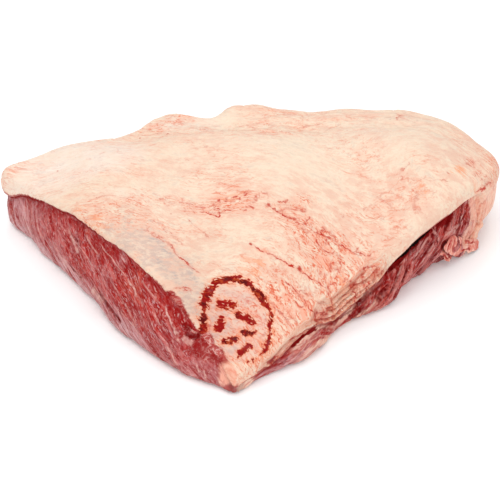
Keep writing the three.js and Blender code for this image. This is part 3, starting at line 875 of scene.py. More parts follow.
def build_lean(settings, seed):
    """The muscle: bundles of fibres on its faces, ragged where it was torn."""
    tree, cap_tree = solid_tree("lean_muscle"), solid_tree("fat_cap")
    strands = torn_strands(tree, np.random.default_rng(seed))
    shells = [tube(points, radius * 1.25) for radius, _, points in strands]
    obj = worked_copy("lean_muscle", settings.voxel, 4, shells)
    p, n = shape_of(obj.data)
    g = grain(p)
    _, right = sides_of(p)
    place, above = near_place(p)
    wall = fade(np.abs(n[:, 2]), 0.6, 0.92) * ease(p[:, 2], 0.0, 2.0)
    torn = right * ease(place, 70, 100)
    width = settings.bundle / MM
    bundles = furrows(g, (46, width * 1.3, 12), 21)
    fine = furrows(g, (20, width * 0.5, 6), 22)
    grit = layered(g / np.array([4, 1.5, 3]), 2, 25)
    broad = layered(p / 17, 2, 23)
    height = settings.relief / MM * (0.6 * bundles + 0.35 * fine + 0.15 * grit) + 0.5 * broad
    rags = furrows(g, (60, 3.0, 12), 24)
    height += torn * (0.7 * rags + 0.4 * furrows(g, (30, 1.8, 8), 27) - 0.3)
    folds = furrows(np.stack([place, above, place * 0], 1), (26, 3.0, 1), 26)
    height += right * fade(place, 60, 90) * 0.6 * folds
    gap = gap_to(cap_tree, p, 8)
    height *= 0.35 + 0.65 * ease(gap, 0.5, 4)
    height += 0.5 * line_relief(p, "thread", THREADS) - 1.2 * line_relief(p, "slit", SLITS)
    end = hollow_end(p)
    height -= 1.6 * end * fade(gap, 1.5, 5.0)
    p += n * (wall * height)[:, None] + closed_up(gap, n) * (1 - end)[:, None] + tucked(p)
    p[:, 2] = np.maximum(p[:, 2], 0)
    set_vertices_mm(obj.data, p)
    _, n = shape_of(obj.data)
    inner = np.hypot((p[:, 0] - MIDDLE[0]) / 150, (p[:, 1] - MIDDLE[1]) / 110)
    thin_out(obj, ((n[:, 2] > 0.6) & (inner < 0.9)) | (p[:, 2] < 0.05))
    note_lean(obj.data, cap_tree, strands)
    return obj


def note_lean(mesh, cap_tree, strands):
    """Keeps where each mark of the muscle is, for its material."""
    p, _ = shape_of(mesh)
    left, right = sides_of(p)
    place, above = near_place(p)
    seam = gap_to(cap_tree, p, 14)
    note(mesh, grain=grain(p), relief=relief_of(mesh), seam=seam)
    # Painted shade where the cap overhangs the torn end and the cleft: dark red in the hollow,
    # black in the gape, by how far under the overhang each point lies
    end = ease(place + 2 * layered(p / 5, 1, 37), 104, 110) * fade(place, 163, 168)
    end *= right * ease(np.abs(place - LONE_STRAND), 0.8, 2.0)
    cleft = right * between(place, 34, 40, 50, 57)
    under = under_rim(cap_tree, p, (np.maximum(end, cleft) > 0.01) & (above > -14))
    deep = np.interp(place, (104, 112, 122, 140, 146, 150, 156, 160), (3, 5, 5, 4, 2.5, 6, 6, 3))
    hollow = end * fade(place, 156, 161) * np.clip(1.4 - under / deep, 0, 1)
    gape = np.interp(place, (112, 118, 124, 132, 139, 142), (-0.6, 1.4, 2.8, 2.6, 1.4, -0.6))
    note(
        mesh,
        hollow=np.maximum(hollow, cleft * np.clip(1.4 - under / 4, 0, 1)),
        gape=end * np.clip(1 + gape - under, 0, 1) * (gape > 0),
        torn=right * between(place, 84, 104, 164, 170),
    )
    low = fade(p[:, 2] + 6 * layered(p / 12, 2, 31), 3, 22)
    corner = fade(p[:, 0], -138, -100)
    film = left * np.maximum(low, 0.6 * corner) * (1 - 0.65 * ease(p[:, 0], -70, -45))
    silver = right * fade(place, 38, 60) * ease(layered(p / 9, 2, 32), -0.9, 0.1)
    low_right = right * ease(place, 112, 124) * fade(p[:, 2] - 0.22 * (place - 112), 3, 10)
    pale = np.zeros(len(p))
    for radius, strength, points in strands:
        if strength > 0:
            away, _ = to_lines(p, points)
            pale = np.maximum(pale, strength * fade(away, radius * 0.8, radius * 1.8))
    note(mesh, bloom=np.maximum(np.maximum(film, 0.55 * silver), 0.4 * low_right), pale=pale)
    note_lines(mesh, p, "thread", THREADS)
    note_lines(mesh, p, "slit", SLITS)
    lump, peach, cream, nub = tip_marks(p)
    stripes = layered(np.stack([place / 22, above / 2.0, place * 0], 1), 2, 34)
    band = right * between(place, 32, 42, 88, 104) * ease(stripes, -0.5, 0.3)
    skirt_from = np.interp(p[:, 2], (8, 14, 17, 21, 30, 43), (165, 166, 167.5, 172, 172, 169.5))
    skirt = right * ease(place + 0.8 * layered(p / 4, 2, 35) - skirt_from, -0.6, 0.6)
    fat = np.maximum(np.maximum(0.85 * band, skirt), np.maximum(peach, cream))
    coral = np.maximum(peach * (1 - cream), 0.6 * skirt)
    note(mesh, mottle=lump, fat=fat * (1 - nub), coral=coral, nub=nub)
    # Painted shade: where a dark crimson line runs just under the cap's edge
    calm = fade(p[:, 0], -84, -66) * ease(layered(p / 9, 2, 36), -0.9, -0.2)
    calm += right * (1 - skirt) * ease(place, 14, 22) * 0.7
    note(mesh, rim=np.clip(calm, 0, 1) * fade(seam, 0.9, 2.4))


def build_cap(settings, seed):
    """The cap: soft lumps, wrinkles along the back, and vessels sunk into the fat."""
    vessels = [*VESSELS, *squiggles(np.random.default_rng(seed + 1))]
    lean_tree = solid_tree("lean_muscle")
    obj = worked_copy("fat_cap", CAP_VOXELS * settings.voxel, 5)
    p, n = shape_of(obj.data)
    top = ease(n[:, 2], -0.2, 0.35)
    flat = ease(n[:, 2], 0.45, 0.8)
    back = ease(p[:, 1], 48, 62)
    f = np.column_stack([flow(p[:, :2]), p[:, 2]])
    blush = patches(p[:, :2], BLUSHES)
    height = 0.45 * layered(p / 24, 2, 41) + 0.16 * layered(f / np.array([10, 6, 8]), 2, 42)
    wrinkles = ridges(f / np.array([17, 6.0, 12]) + 0.5 * layered(p / 12, 1, 43)[:, None], 44)
    height += flat * back * (0.8 * lumps(p / np.array([16, 9, 12]), 40) + 0.3 - 0.7 * wrinkles**2)
    streaks = ridges(f / np.array([16, 3.0, 12]) + 0.3 * layered(p / 12, 1, 45)[:, None], 46)
    height -= (0.12 + 0.5 * blush) * streaks**3
    height -= 0.15 * line_relief(p, "vessel", vessels)
    folds, side = edge_folds(p, n)
    height += side * (1.3 * folds - 0.4)
    gap = gap_to(lean_tree, p, 6)
    p += n * (np.maximum(top, side) * height)[:, None]
    p += closed_up(gap, n) * ((1 - hollow_end(p)) * fade(n[:, 2], 0.8, 0.95))[:, None]
    _, right = sides_of(p)
    rim = right * fade(gap, 1.0, 4.0) * fade(n[:, 2], 0.3, 0.8)
    p[:, 2] += 0.7 * rim * layered(p / 3.5, 2, 49)
    p += drawn_in(p)
    p[:, 2] = np.maximum(p[:, 2], 0.3)
    set_vertices_mm(obj.data, p)
    _, n = shape_of(obj.data)
    inner = np.hypot((p[:, 0] - MIDDLE[0]) / 135, (p[:, 1] - MIDDLE[1]) / 95)
    thin_out(obj, (n[:, 2] < -0.4) & (inner < 0.97))
    note_cap(obj.data, lean_tree, vessels)
    return obj


def note_cap(mesh, lean_tree, vessels):
    """Keeps where each mark of the fat is, for its material."""
    p, n = shape_of(mesh)
    folds, side = edge_folds(p, n)
    left, right = sides_of(p)
    place, above = near_place(p)
    f = flow(p[:, :2])
    f[:, 0] = f[:, 0] * (1 - side) + side * place
    f[:, 1] = f[:, 1] * (1 - side) + side * above * 1.4
    note(mesh, flow=np.column_stack([f, p[:, 2]]), relief=relief_of(mesh))
    # A painted shade line, dark red, along the cap's seam with the muscle; the undersides of the
    # near faces take it in full
    seam = np.where(n[:, 2] < 0.75, gap_to(lean_tree, p, 8), 8)
    calm = 1 - ease(p[:, 0], -118, -100) * (1 - right * ease(place, 14, 22))
    calm *= fade(p[:, 0], 116, 122) * ease(layered(p / 8, 2, 50), -0.6, 0.1)
    away_from_near = np.maximum(1 - left - right, ease(p[:, 0], 108, 114))
    seen = np.maximum(ease(n[:, 2], -0.15, 0.15), away_from_near)
    gap, inside = stamp_gap(p)
    note(mesh, seam=seen * (seam + 3 * (1 - calm)), spot=spot_gap(p), ink=gap, inside=inside)
    note_lines(mesh, p, "vessel", vessels)
    note(mesh, crease=side * ease(-folds, -0.2, 0.3) * ease(layered(p / 5, 1, 53), -0.6, 0.0))
    skirt = ease(p[:, 0], 118, 124) * fade(p[:, 2], 34, 42) * fade(p[:, 1], 40, 55)
    xy = p[:, :2] + 2.5 * scatter(p, 8, 2, 51, 2)
    blush = np.maximum(patches(xy, BLUSHES), np.maximum(0.6 * skirt, 0.85 * side))
    note(mesh, skirt=skirt, blush=blush, milk=fade(p[:, 0], -50, 0))
    note(mesh, orange=patches(xy, ORANGES), cream=patches(xy, CREAMS), bruise=patches(xy, BRUISES))
    away, along = to_lines(xy, FILMS)
    right_edge = (xy - np.array(FILMS[0])) @ np.array([0.62, 0.78])
    film = fade(away, 5, 17) * fade(right_edge, -2.0, 18.0) * ease(along, -0.2, 0.2)
    ragged = p + 0.7 * scatter(p, 3, 2, 54)
    beyond, _ = beside(ragged, rounded(FLESH_EDGE, 4), np.array(FRONT))
    near_left = between(p[:, 0], -66, -58, -4.5, -3.5) * ease(-p[:, 1], 46, 50)
    lump, peach, cream, _ = tip_marks(p)
    note(mesh, film=film, mottle=lump, coral=peach * (1 - cream))
    note(mesh, flesh=np.where(near_left > 0.5, np.clip(-beyond, -5, 5), -5))


def edge_folds(p, n):
    """Folds that run along the near right edge, from -1 to 1, and where the edge's side is."""
    place, above = near_place(p)
    _, right = sides_of(p)
    ragged = ease(place, 48, 62)
    side = right * fade(n[:, 2] - 0.15 * ragged, 0.55, 0.85) * ease(n[:, 2], -0.6, -0.2)
    side *= between(place, 14, 26, 96, 112) * fade(above - 9 * ragged, 2.5, 6.5)
    wave = 0.5 * layered(p / 13, 2, 47)
    return furrows(np.stack([place / 15, above / 2.4 + wave, place * 0], 1), 1, 48), side


def line_marks(p, name, table):
    """Side distance to the nearest line of a table, in widths of it, and the line's strength."""
    reach, seed = 5.0, LINE_SEEDS[name]
    moved = p.copy()
    moved[:, :2] += 0.5 * scatter(p, 4, 2, seed, 2)
    side, power = np.full(len(p), 9.0), np.zeros(len(p))  # 9 widths off is past every line
    for i, (width, strength, *points) in enumerate(table):
        flat = len(points[0]) == 2
        path = rounded([(*point, 0)[:3] for point in points], 4)
        low, high = path.min(0) - reach, path.max(0) + reach
        inside = (moved >= low) & (moved <= high)
        close = np.flatnonzero(inside[:, : 2 if flat else 3].all(1))
        away, along = beside(moved[close], path, np.array(ABOVE if flat else FRONT))
        beads = 0.8 + 0.4 * lumps(np.stack([along * 9, along * 0, along * 0 + i], 1), seed)
        ends = between(along, 0.0, 0.15, 0.85, 1.0)
        nearer = np.abs(away) / width < np.abs(side[close])
        close, away = close[nearer], away[nearer]
        side[close] = away / width
        power[close] = (strength * beads * ends)[nearer] * fade(np.abs(away), 2.2, 3.6)
    return side, power


def note_lines(mesh, p, name, table):
    """Keeps how far each vertex is from a table's lines, and their strength."""
    side, power = line_marks(p, name, table)
    note(mesh, **{name: side, name + "_power": power})


def line_relief(p, name, table):
    """From 0 to 1, how close each point is to a line of a table."""
    side, power = line_marks(p, name, table)
    return power * np.exp(-(side**2) / 2)


def squiggles(rng):
    """Short crooked streaks of blood, scattered over their patches."""
    table = []
    for count, long, deep, turn, strength, middle in SQUIGGLES:
        turn = math.radians(turn)
        ahead = np.array([math.cos(turn), math.sin(turn)])
        aside = np.array([-ahead[1], ahead[0]])
        for _ in range(count):
            reach, round_about = math.sqrt(rng.random()), rng.random() * 2 * math.pi
            point = np.array(middle, float) + ahead * long * reach * math.cos(round_about)
            point += aside * deep * reach * math.sin(round_about)
            heading, points = turn + rng.normal(0, 0.35), []
            step = rng.uniform(0.7, 2.2)
            for _ in range(4):
                points.append(tuple(point))
                point = point + step * np.array([math.cos(heading), math.sin(heading)])
                heading += rng.normal(0, 0.4)
            table.append((rng.uniform(0.3, 0.55), strength * rng.uniform(0.5, 1.1), *points))
    return table


def spot_gap(p):
    """Distance to the nearest blood spot, in radii of it."""
    gap = np.full(len(p), 4.0)
    xy = p[:, :2] + 0.4 * scatter(p, 2, 1, 63, 2)
    for radius, strength, middle in SPOTS:
        away = np.hypot(*(xy - np.array(middle, float)).T)
        gap = np.minimum(gap, away / radius + 1.2 * (1 - strength))
    return gap


def tip_marks(p):
    """From 0 to 1: the mottled lump, peach fat, cream lip and red nub of the near tip."""
    q = p + 1.2 * scatter(p, 5, 2, 33)
    return [
        fade(np.linalg.norm((q - np.array(middle)) / radii, axis=1), 0.72, 1.08)
        for middle, radii in TIP_MARKS
    ]


def stamp_gap(p):
    """Distance in mm to the printed mark, a worn oval ring with short bars, and its inside."""
    xy = p[:, :2] + 0.8 * scatter(p, 5, 2, 71, 2)
    middle, turn, half_wide, half_deep = (-6.0, -69.0), 10, 17.5, 19.5
    u, v = turned((xy - np.array(middle)).T, turn)
    ring = np.hypot(u / half_wide, v / half_deep)
    thick = 0.6 + 0.9 * layered(p / 5, 2, 73) + 0.6 * ease(-u, 4, 14) - 1.5 * ease(-v, 10, 18)
    gap = np.abs(ring - 1) * 18 - thick
    rough = 0.5 * layered(p / 2.2, 1, 74)
    for middle_u, middle_v, half, wide, tilt in MARK_BARS:
        a, b = turned((u - middle_u, v - middle_v), tilt)
        bar = np.hypot(np.maximum(np.abs(a) - half + wide, 0), b) - wide
        gap = np.minimum(gap, bar + rough)
    return np.clip(gap, -3, 4), fade(ring, 0.8, 1.05)


def build_flaps(settings):
    """Ruffled flaps of tissue that hang from the torn end."""
    thick = settings.thickness / MM
    shells = [
        leaf(root, edge, waves, swing, bulge, thick, 0.37 * i)
        for i, (waves, swing, bulge, root, edge) in enumerate(FLAPS)
    ]
    mesh = joined(bpy.data.meshes.new("torn_flaps"), shells)
    obj = grown_together("torn_flaps", mesh, settings.voxel, 2)
    mesh = obj.data
    p, n = shape_of(mesh)
    bent = p / np.array([2.6, 2.6, 7]) + layered(p / 6, 1, 83)[:, None] * 0.4
    creases = furrows(bent, 1, 84)
    bumps = 0.15 * layered(p / 3.0, 3, 81) + 0.18 * creases
    bumps += 0.2 * line_relief(p, "lit_fold", LIT_FOLDS) - 0.5 * line_relief(p, "hollow", SHADED_HOLLOWS)
    p += n * bumps[:, None]
    p[:, 2] = np.maximum(p[:, 2], 0.1)
    set_vertices_mm(mesh, p)
    note(mesh, relief=relief_of(mesh))
    note_lines(mesh, p, "lit_fold", LIT_FOLDS)
    note_lines(mesh, p, "hollow", SHADED_HOLLOWS)
    return obj


# Materials


class Shade:
    """A small helper that builds a node material, one layer of colour over another."""

    def __init__(self, name):
        self.material = bpy.data.materials.new(name)
        self.material.use_nodes = True
        self.tree = self.material.node_tree
        self.colour = None

    def tools(self):
        return self.noise, self.span, self.mix, self.kept, self.times, self.add, self.lay

    def node(self, kind, inputs, output=0, **settings):
        """An output of a new node with these inputs."""
        node = self.tree.nodes.new(kind)
        for key, value in settings.items():
            setattr(node, key, value)
        self.feed(node, inputs)
        return node.outputs[output]

    def feed(self, node, inputs):
        for key, value in inputs.items():
            socket = node.inputs[key]
            if isinstance(value, bpy.types.NodeSocket):
                self.tree.links.new(value, socket)
            elif socket.type == "RGBA":
                socket.default_value = (*value, 1)
            else:
                socket.default_value = value

    def place(self):
        """Position on the object, in metres."""
        return self.node("ShaderNodeTexCoord", {}, "Object")

    def kept(self, name, output="Fac"):
        """What note() kept on the mesh."""
        return self.node("ShaderNodeAttribute", {}, output, attribute_name=name)

    def maths(self, operation, a, b=0.0):
        return self.node("ShaderNodeMath", {0: a, 1: b}, operation=operation)

    def add(self, a, b):
        return self.maths("ADD", a, b)

    def times(self, first, *others):
        for other in others:
            first = self.maths("MULTIPLY", first, other)
        return first

    def vectors(self, operation, a, b):
        return self.node("ShaderNodeVectorMath", {0: a, 1: b}, operation=operation)

    def bend(self, vector, by, amount):
        """Moves a position about by a noise colour."""
        shift = {0: self.vectors("SUBTRACT", by, (0.5, 0.5, 0.5)), "Scale": amount}
        shift = self.node("ShaderNodeVectorMath", shift, operation="SCALE")
        return self.vectors("ADD", vector, shift)

    def noise(self, vector, scale, detail=2, rough=0.5, twist=0, output=0):
        """Noise, with one scale for all axes or one for each."""
        if isinstance(scale, tuple):
            vector, scale = self.vectors("MULTIPLY", vector, scale), 1
        inputs = {"Vector": vector, "Scale": scale, "Detail": detail, "Roughness": rough}
        return self.node("ShaderNodeTexNoise", {**inputs, "Distortion": twist}, output)

    def span(self, value, low, high, to_low=0, to_high=1):
        """A smooth step from one value to another."""
        inputs = {0: value, 1: low, 2: high, 3: to_low, 4: to_high}
        return self.node("ShaderNodeMapRange", inputs, interpolation_type="SMOOTHSTEP")

    def thread(self, noise, width):
        """Thin lines where a noise crosses its middle."""
        away = self.maths("ABSOLUTE", self.maths("SUBTRACT", noise, 0.5))
        return self.span(away, 0.3 * width, width, 1, 0)

    def dashes(self, vector, scale, width, gate_from):
        """Such lines, broken up into dashes."""
        line = self.thread(self.noise(vector, scale, 3, 0.5, 0.5), width)
        gate = self.noise(vector, tuple(1.6 * s for s in scale), 1)
        return self.times(line, self.span(gate, gate_from, gate_from + 0.1))

    def drawn(self, name, fray, width):
        """From 0 to 1, the share of a drawn line's colour."""
        away = self.maths("ABSOLUTE", self.kept(name))
        away = self.add(away, self.span(fray, 0.3, 0.7, -0.5, 0.5))
        return self.times(self.span(away, width, 0.4 * width), self.kept(name + "_power"))

    def web(self, place, patch, pale):
        """The lump near the tip: dark red with a pale web."""
        lines = self.thread(self.noise(place, 300, 3, 0.6, 0.8), 0.045)
        lines = self.times(lines, self.span(patch, 0.44, 0.58, 0.2, 0.9))
        red = self.mix(self.span(patch, 0.42, 0.6), DARK_FLESH, (0.44, 0.08, 0.07))
        return self.mix(lines, red, pale)

    def mix(self, share, a, b):
        return self.node("ShaderNodeMix", {0: share, 6: a, 7: b}, 2, data_type="RGBA")

    def lay(self, colour, *shares):
        """Lays a colour over what is there, by the product of its shares."""
        self.colour = self.mix(self.times(*shares), self.colour, colour)

    def bumps(self, *layers):
        """Fine relief from layers of noise: each one's height, its depth in mm, its strength."""
        normal = None
        for height, depth, strength in layers:
            inputs = {"Height": height, "Distance": depth * MM, "Strength": strength}
            if normal is not None:
                inputs["Normal"] = normal
            normal = self.node("ShaderNodeBump", inputs)
        return normal

    def finish(self, rough, normal, sunk, depths, gloss, wet=None):
        """Sets the skin: roughness, relief, how light sinks into the flesh, gloss, a wet coat."""
        skin = {"Base Color": self.colour, "Roughness": rough, "Normal": normal}
        skin |= {"Subsurface Weight": sunk, "Subsurface Radius": [d * MM for d in depths]}
        skin |= {"Subsurface Scale": 1.0, "Specular IOR Level": gloss}
        if wet is not None:
            skin |= {"Coat Weight": wet, "Coat Roughness": 0.18, "Coat Normal": normal}
        self.feed(self.tree.nodes["Principled BSDF"], skin)
        return self.material


def lean_material(settings):
    """Moist muscle: fibres, sinew threads, silverskin and wet highlights from the coat, with
    painted glints, painted highlights on raised bundles and painted shade under the cap, in
    hollows and in slits.
    """
    shade = Shade("raw muscle")
    noise, span, mix, kept, times, add, lay = shade.tools()
    place = shade.place()
    fibres = shade.bend(kept("grain", "Vector"), noise(place, 75, 3, output=1), 4.5)
    fine = noise(fibres, (0.14, 0.95, 0.4), 3, 0.65, 0.2)
    speck = noise(fibres, (0.4, 1.3, 0.7), 2, 0.7)
    bundle = noise(fibres, (0.03, 0.26, 0.12), 4, 0.6, 0.3)
    strand = noise(fibres, (0.05, 0.55, 0.3), 3, 0.6, 0.3)
    painted_glints = noise(shade.vectors("MULTIPLY", fibres, (0.2, 1.1, 0.6)), 1.3)
    patch, tone = noise(place, 60, 3, 0.6), noise(place, 38, 3, 0.6)
    relief, torn = kept("relief"), kept("torn")
    rose = mix(0.35, settings.muscle, settings.sinew)
    # Painted shade under the cap: near runs from the cap's seam, calm thins the pale bits close to
    # it
    near = add(kept("seam"), span(patch, 0.35, 0.65, 5, -5))
    calm = span(near, 11, 1, 1, 0.25)
    shade.colour = mix(span(bundle, 0.42, 0.58), settings.deep, settings.muscle)
    lay(settings.muscle, span(patch, 0.5, 0.64, 0, 0.6))
    lay((0.50, 0.085, 0.055), span(tone, 0.52, 0.6, 0, 0.55))
    lay(settings.bloom, span(tone, 0.47, 0.39, 0, 0.2))
    # Painted shade: deep muscle just under the cap's edge
    lay(settings.deep, span(near, 10, 2, 0, 0.75))
    lay(settings.deep, span(fine, 0.51, 0.42, 0, 0.85))
    lay(rose, span(fine, 0.53, 0.63, 0, 0.7), calm)
    # Painted glints: pale specks along the fibres, fewer in the painted shade under the cap
    lay(settings.bloom, span(speck, 0.57, 0.66, 0, 0.65), calm)
    film = span(bundle, 0.4, 0.54, 0.1, 1.15)
    lay(settings.bloom, kept("bloom"), film, span(fine, 0.38, 0.52, 0.4))
    # Painted glints: pale flecks along the fibres
    lay(settings.sinew, span(painted_glints, 0.61, 0.67), 0.55)
    # Torn face: lighter streaks, partly the strands' colour and partly a painted highlight;
    # near-black streaks as painted shade in the gaps between strands
    lay((0.52, 0.14, 0.12), torn, span(strand, 0.52, 0.6, 0, 0.7))
    lay((0.18, 0.003, 0.003), torn, span(strand, 0.47, 0.4, 0, 0.8))
    lay(shade.web(place, patch, settings.sinew), kept("mottle"), 0.85)
    # Painted highlight: sinew colour on the raised bundles
    lay(settings.sinew, span(relief, 0.15, 0.9, 0, 0.22))
    lay(settings.sinew, kept("pale"), span(fine, 0.42, 0.56, 0, 0.5))
    # Painted shade: near-black red in the hollows of the surface
    lay(PAINTED_SHADE_RED, span(relief, -0.12, -0.7, 0, 0.9))
    fat = mix(span(speck, 0.35, 0.6), (0.76, 0.40, 0.31), (0.82, 0.56, 0.43))
    fat = mix(kept("coral"), fat, (0.80, 0.38, 0.28))
    fat = mix(span(fine, 0.5, 0.4, 0, 0.6), fat, rose)
    lay(fat, kept("fat"), span(bundle, 0.3, 0.45, 0.5))
    lay((0.44, 0.09, 0.08), kept("nub"), span(fine, 0.4, 0.55, 0.7))
    thread = shade.drawn("thread", speck, 1.2)
    lay((0.74, 0.44, 0.38), thread, 0.7)
    # Painted shade: near-black red in the slits
    lay(PAINTED_SHADE_RED, shade.drawn("slit", fine, 1.7))
    # Painted shade: a dark crimson line just under the cap's edge
    lay((0.21, 0.003, 0.003), kept("rim"))
    # Painted shade under the cap's overhang: dark red in the hollow, black in the gape
    worn = span(fine, 0.35, 0.65, -0.25, 0.25)
    hollow = span(add(kept("hollow"), worn), 0.3, 0.6)
    lay((0.19, 0.002, 0.002), hollow)
    gape = span(add(kept("gape"), worn), 0.35, 0.6)
    lay((0.004, 0.0002, 0.0002), gape)
    normal = shade.bumps((fine, 0.8, 0.7), (speck, 0.4, 0.6), (thread, 0.3, 0.5))
    open_to_light = shade.maths("SUBTRACT", 1.0, shade.maths("MAXIMUM", hollow, gape))
    gleam = times(span(noise(place, 420), 0.55, 0.63, 0, 0.8), open_to_light)
    rough = span(speck, 0.35, 0.65, 0.3, 0.5)
    return shade.finish(rough, normal, 0.05, (1.6, 0.4, 0.3), 0.04, gleam)


def cap_material(settings):
    """Soft fat: mottled cream and peach, with threads of blood, grey film and ink; painted shade
    along its seam with the muscle, and near-white on its palest patches, partly a painted
    highlight.
    """
    shade = Shade("beef fat")
    noise, span, mix, kept, times, add, lay = shade.tools()
    place = shade.place()
    drift = noise(place, 90, 3, 0.6, output=1)
    flowing = shade.bend(kept("flow", "Vector"), drift, 5.0)
    mottle = noise(flowing, (0.1, 0.17, 0.12), 5, 0.72)
    cloud = noise(flowing, (0.022, 0.04, 0.03), 3, 0.55)
    streak = noise(flowing, (0.08, 0.4, 0.2), 4, 0.7)
    fleck = noise(flowing, (0.3, 0.6, 0.4), 3, 0.7)
    cream = kept("cream")
    shade.colour = mix(span(mottle, 0.4, 0.6), settings.fat, settings.cream)
    lay(settings.cream, cream, span(mottle, 0.3, 0.5, 0.3))
    lay((0.80, 0.67, 0.57), span(cream, 0.5, 1.05), span(mottle, 0.3, 0.6, 0.5), kept("milk"))
    # Near-white on the strongest cream patches: the palest fat, partly a painted highlight
    lay((0.89, 0.82, 0.74), span(cream, 1, 1.7), span(mottle, 0.3, 0.6, 0.4))
    pink = add(span(cloud, 0.42, 0.62, 0.08, 0.42), kept("blush"))
    pink = times(pink, span(cream, 0.5, 1.5, 1, 0.4))
    lay(settings.blush, pink, span(streak, 0.6, 0.4, 0, 0.6))
    lay(settings.blush, pink, span(fleck, 0.58, 0.7, 0, 0.6))
    red = mix(0.35, (0.76, 0.19, 0.085), settings.blood)
    dense = shade.maths("MINIMUM", pink, 1.0)
    for scale, width, gate_from, weight in (
        ((0.05, 0.28, 0.16), 0.018, 0.46, 1.0),
        ((0.07, 0.42, 0.22), 0.026, 0.47, 1.0),
        ((0.11, 0.42, 0.28), 0.028, 0.48, 1.0),
        ((0.15, 0.85, 0.45), 0.045, 0.5, 0.9),
    ):
        lay(red, shade.dashes(flowing, scale, width, gate_from), times(dense, weight))
    lay(red, span(kept("relief"), -0.08, -0.4, 0, 0.45), dense)
    hang = shade.bend(shade.vectors("MULTIPLY", place, (430, 430, 70)), drift, 1.2)
    hang = noise(hang, 1, 3, 0.6)
    hung = mix(span(hang, 0.42, 0.58), (0.76, 0.33, 0.225), (0.82, 0.52, 0.385))
    hung = mix(span(hang, 0.42, 0.34, 0, 0.6), hung, (0.62, 0.17, 0.11))
    lay(hung, kept("skirt"), 0.75)
    lay((0.80, 0.29, 0.13), kept("orange"), span(streak, 0.53, 0.43, 0, 0.8))
    film = add(kept("film"), span(mottle, 0.35, 0.65, -0.6, 0.5))
    lay(settings.film, span(film, 0.1, 1), span(fleck, 0.4, 0.6, 0.35, 0.9))
    lay((0.42, 0.37, 0.35), kept("bruise"), span(fleck, 0.44, 0.6, 0.15, 0.8))
    vessel, power = kept("vessel"), kept("vessel_power")
    lay((0.78, 0.29, 0.19), span(shade.maths("ABSOLUTE", vessel), 4.5, 1, 0, 0.4), power)
    away = add(vessel, span(noise(place, 330, 3, 0.6), 0.3, 0.7, -1.4, 1.4))
    beads = span(noise(place, 420, 2, 0.6), 0.36, 0.58, 0.35, 1.15)
    lay(settings.blood, span(shade.maths("ABSOLUTE", away), 1.35, 0.6), power, beads)
    spot = add(kept("spot"), span(fleck, 0.3, 0.7, -0.35, 0.35))
    lay((0.46, 0.05, 0.03), span(spot, 1.5, 0.4))
    torn = mix(span(streak, 0.42, 0.56), (0.30, 0.006, 0.005), (0.56, 0.10, 0.06))
    lay(torn, kept("crease"), span(fleck, 0.35, 0.55, 0.4, 0.95))
    lay((0.62, 0.36, 0.32), kept("inside"), span(mottle, 0.35, 0.6, 0.1, 0.4))
    edge = add(kept("ink"), span(streak, 0.3, 0.7, -1, 1))
    worn = span(noise(flowing, (0.5, 0.9, 0.7)), 0.3, 0.5, -0.9, 0.5)
    edge = shade.maths("SUBTRACT", edge, worn)
    lay((0.80, 0.25, 0.10), span(edge, 2.2, 0, 0, 0.5))
    rust = mix(span(mottle, 0.4, 0.54), (0.10, 0.0004, 0.0004), settings.ink)
    rust = mix(span(edge, -0.3, 0.4), rust, (0.42, 0.022, 0.005))
    rust = mix(span(fleck, 0.53, 0.61, 0, 0.7), rust, (0.44, 0.055, 0.011))
    lay(rust, span(edge, 0.7, 0.1))
    flesh = mix(span(streak, 0.4, 0.58), DARK_FLESH, (0.40, 0.055, 0.045))
    flesh = mix(span(fleck, 0.52, 0.64, 0, 0.7), flesh, (0.58, 0.25, 0.21))
    flesh = mix(kept("mottle"), flesh, shade.web(place, mottle, (0.66, 0.36, 0.32)))
    coral = mix(span(streak, 0.4, 0.6), (0.72, 0.28, 0.19), (0.80, 0.46, 0.34))
    flesh = mix(kept("coral"), flesh, coral)
    beyond = add(kept("flesh"), span(fleck, 0.3, 0.7, -0.5, 0.5))
    lay(flesh, span(beyond, -0.7, 0.7))
    # Painted shade: a dark red line along the seam with the muscle
    lay((0.36, 0.02, 0.016), span(kept("seam"), 1.2, 0.5), 0.8)
    grit = noise(place, 900, 3, 0.6)
    normal = shade.bumps((streak, 1.0, 0.5), (mottle, 1.2, 0.4), (grit, 0.25, 0.4))
    gleam = span(noise(place, 260), 0.56, 0.66, 0, 0.3)
    rough = span(mottle, 0.35, 0.65, 0.32, 0.5)
    return shade.finish(rough, normal, 0.04, (2.0, 1.0, 0.7), 0.1, gleam)


def flap_material():
    """Torn tissue: pink, with a painted highlight along its ridges and folds and painted shade,
    dark red, in its hollows.
    """
    shade = Shade("torn tissue")
    noise, span, mix, kept, _, _, lay = shade.tools()
    place, relief = shade.place(), kept("relief")
    streak = noise(place, (420, 420, 130), 3, 0.6, 0.6)
    shade.colour = mix(span(streak, 0.42, 0.58), (0.66, 0.21, 0.16), (0.80, 0.42, 0.34))
    lay((0.56, 0.12, 0.09), span(noise(place, 110), 0.52, 0.62, 0, 0.7))
    # Painted highlight on the ridges, painted shade in the hollows of the surface
    lay((0.86, 0.56, 0.45), span(relief, 0.15, 0.6, 0, 0.4))
    lay((0.40, 0.03, 0.02), span(relief, -0.05, -0.35, 0, 0.8))
    # Painted highlight along the folds, painted shade along the hollows
    lay((0.88, 0.60, 0.46), shade.drawn("lit_fold", streak, 1.6), 0.7)
    lay((0.36, 0.006, 0.004), shade.drawn("hollow", streak, 1.8))
    return shade.finish(0.38, shade.bumps((streak, 0.5, 0.5)), 0.1, (1.8, 0.7, 0.5), 0.15)


# Operators


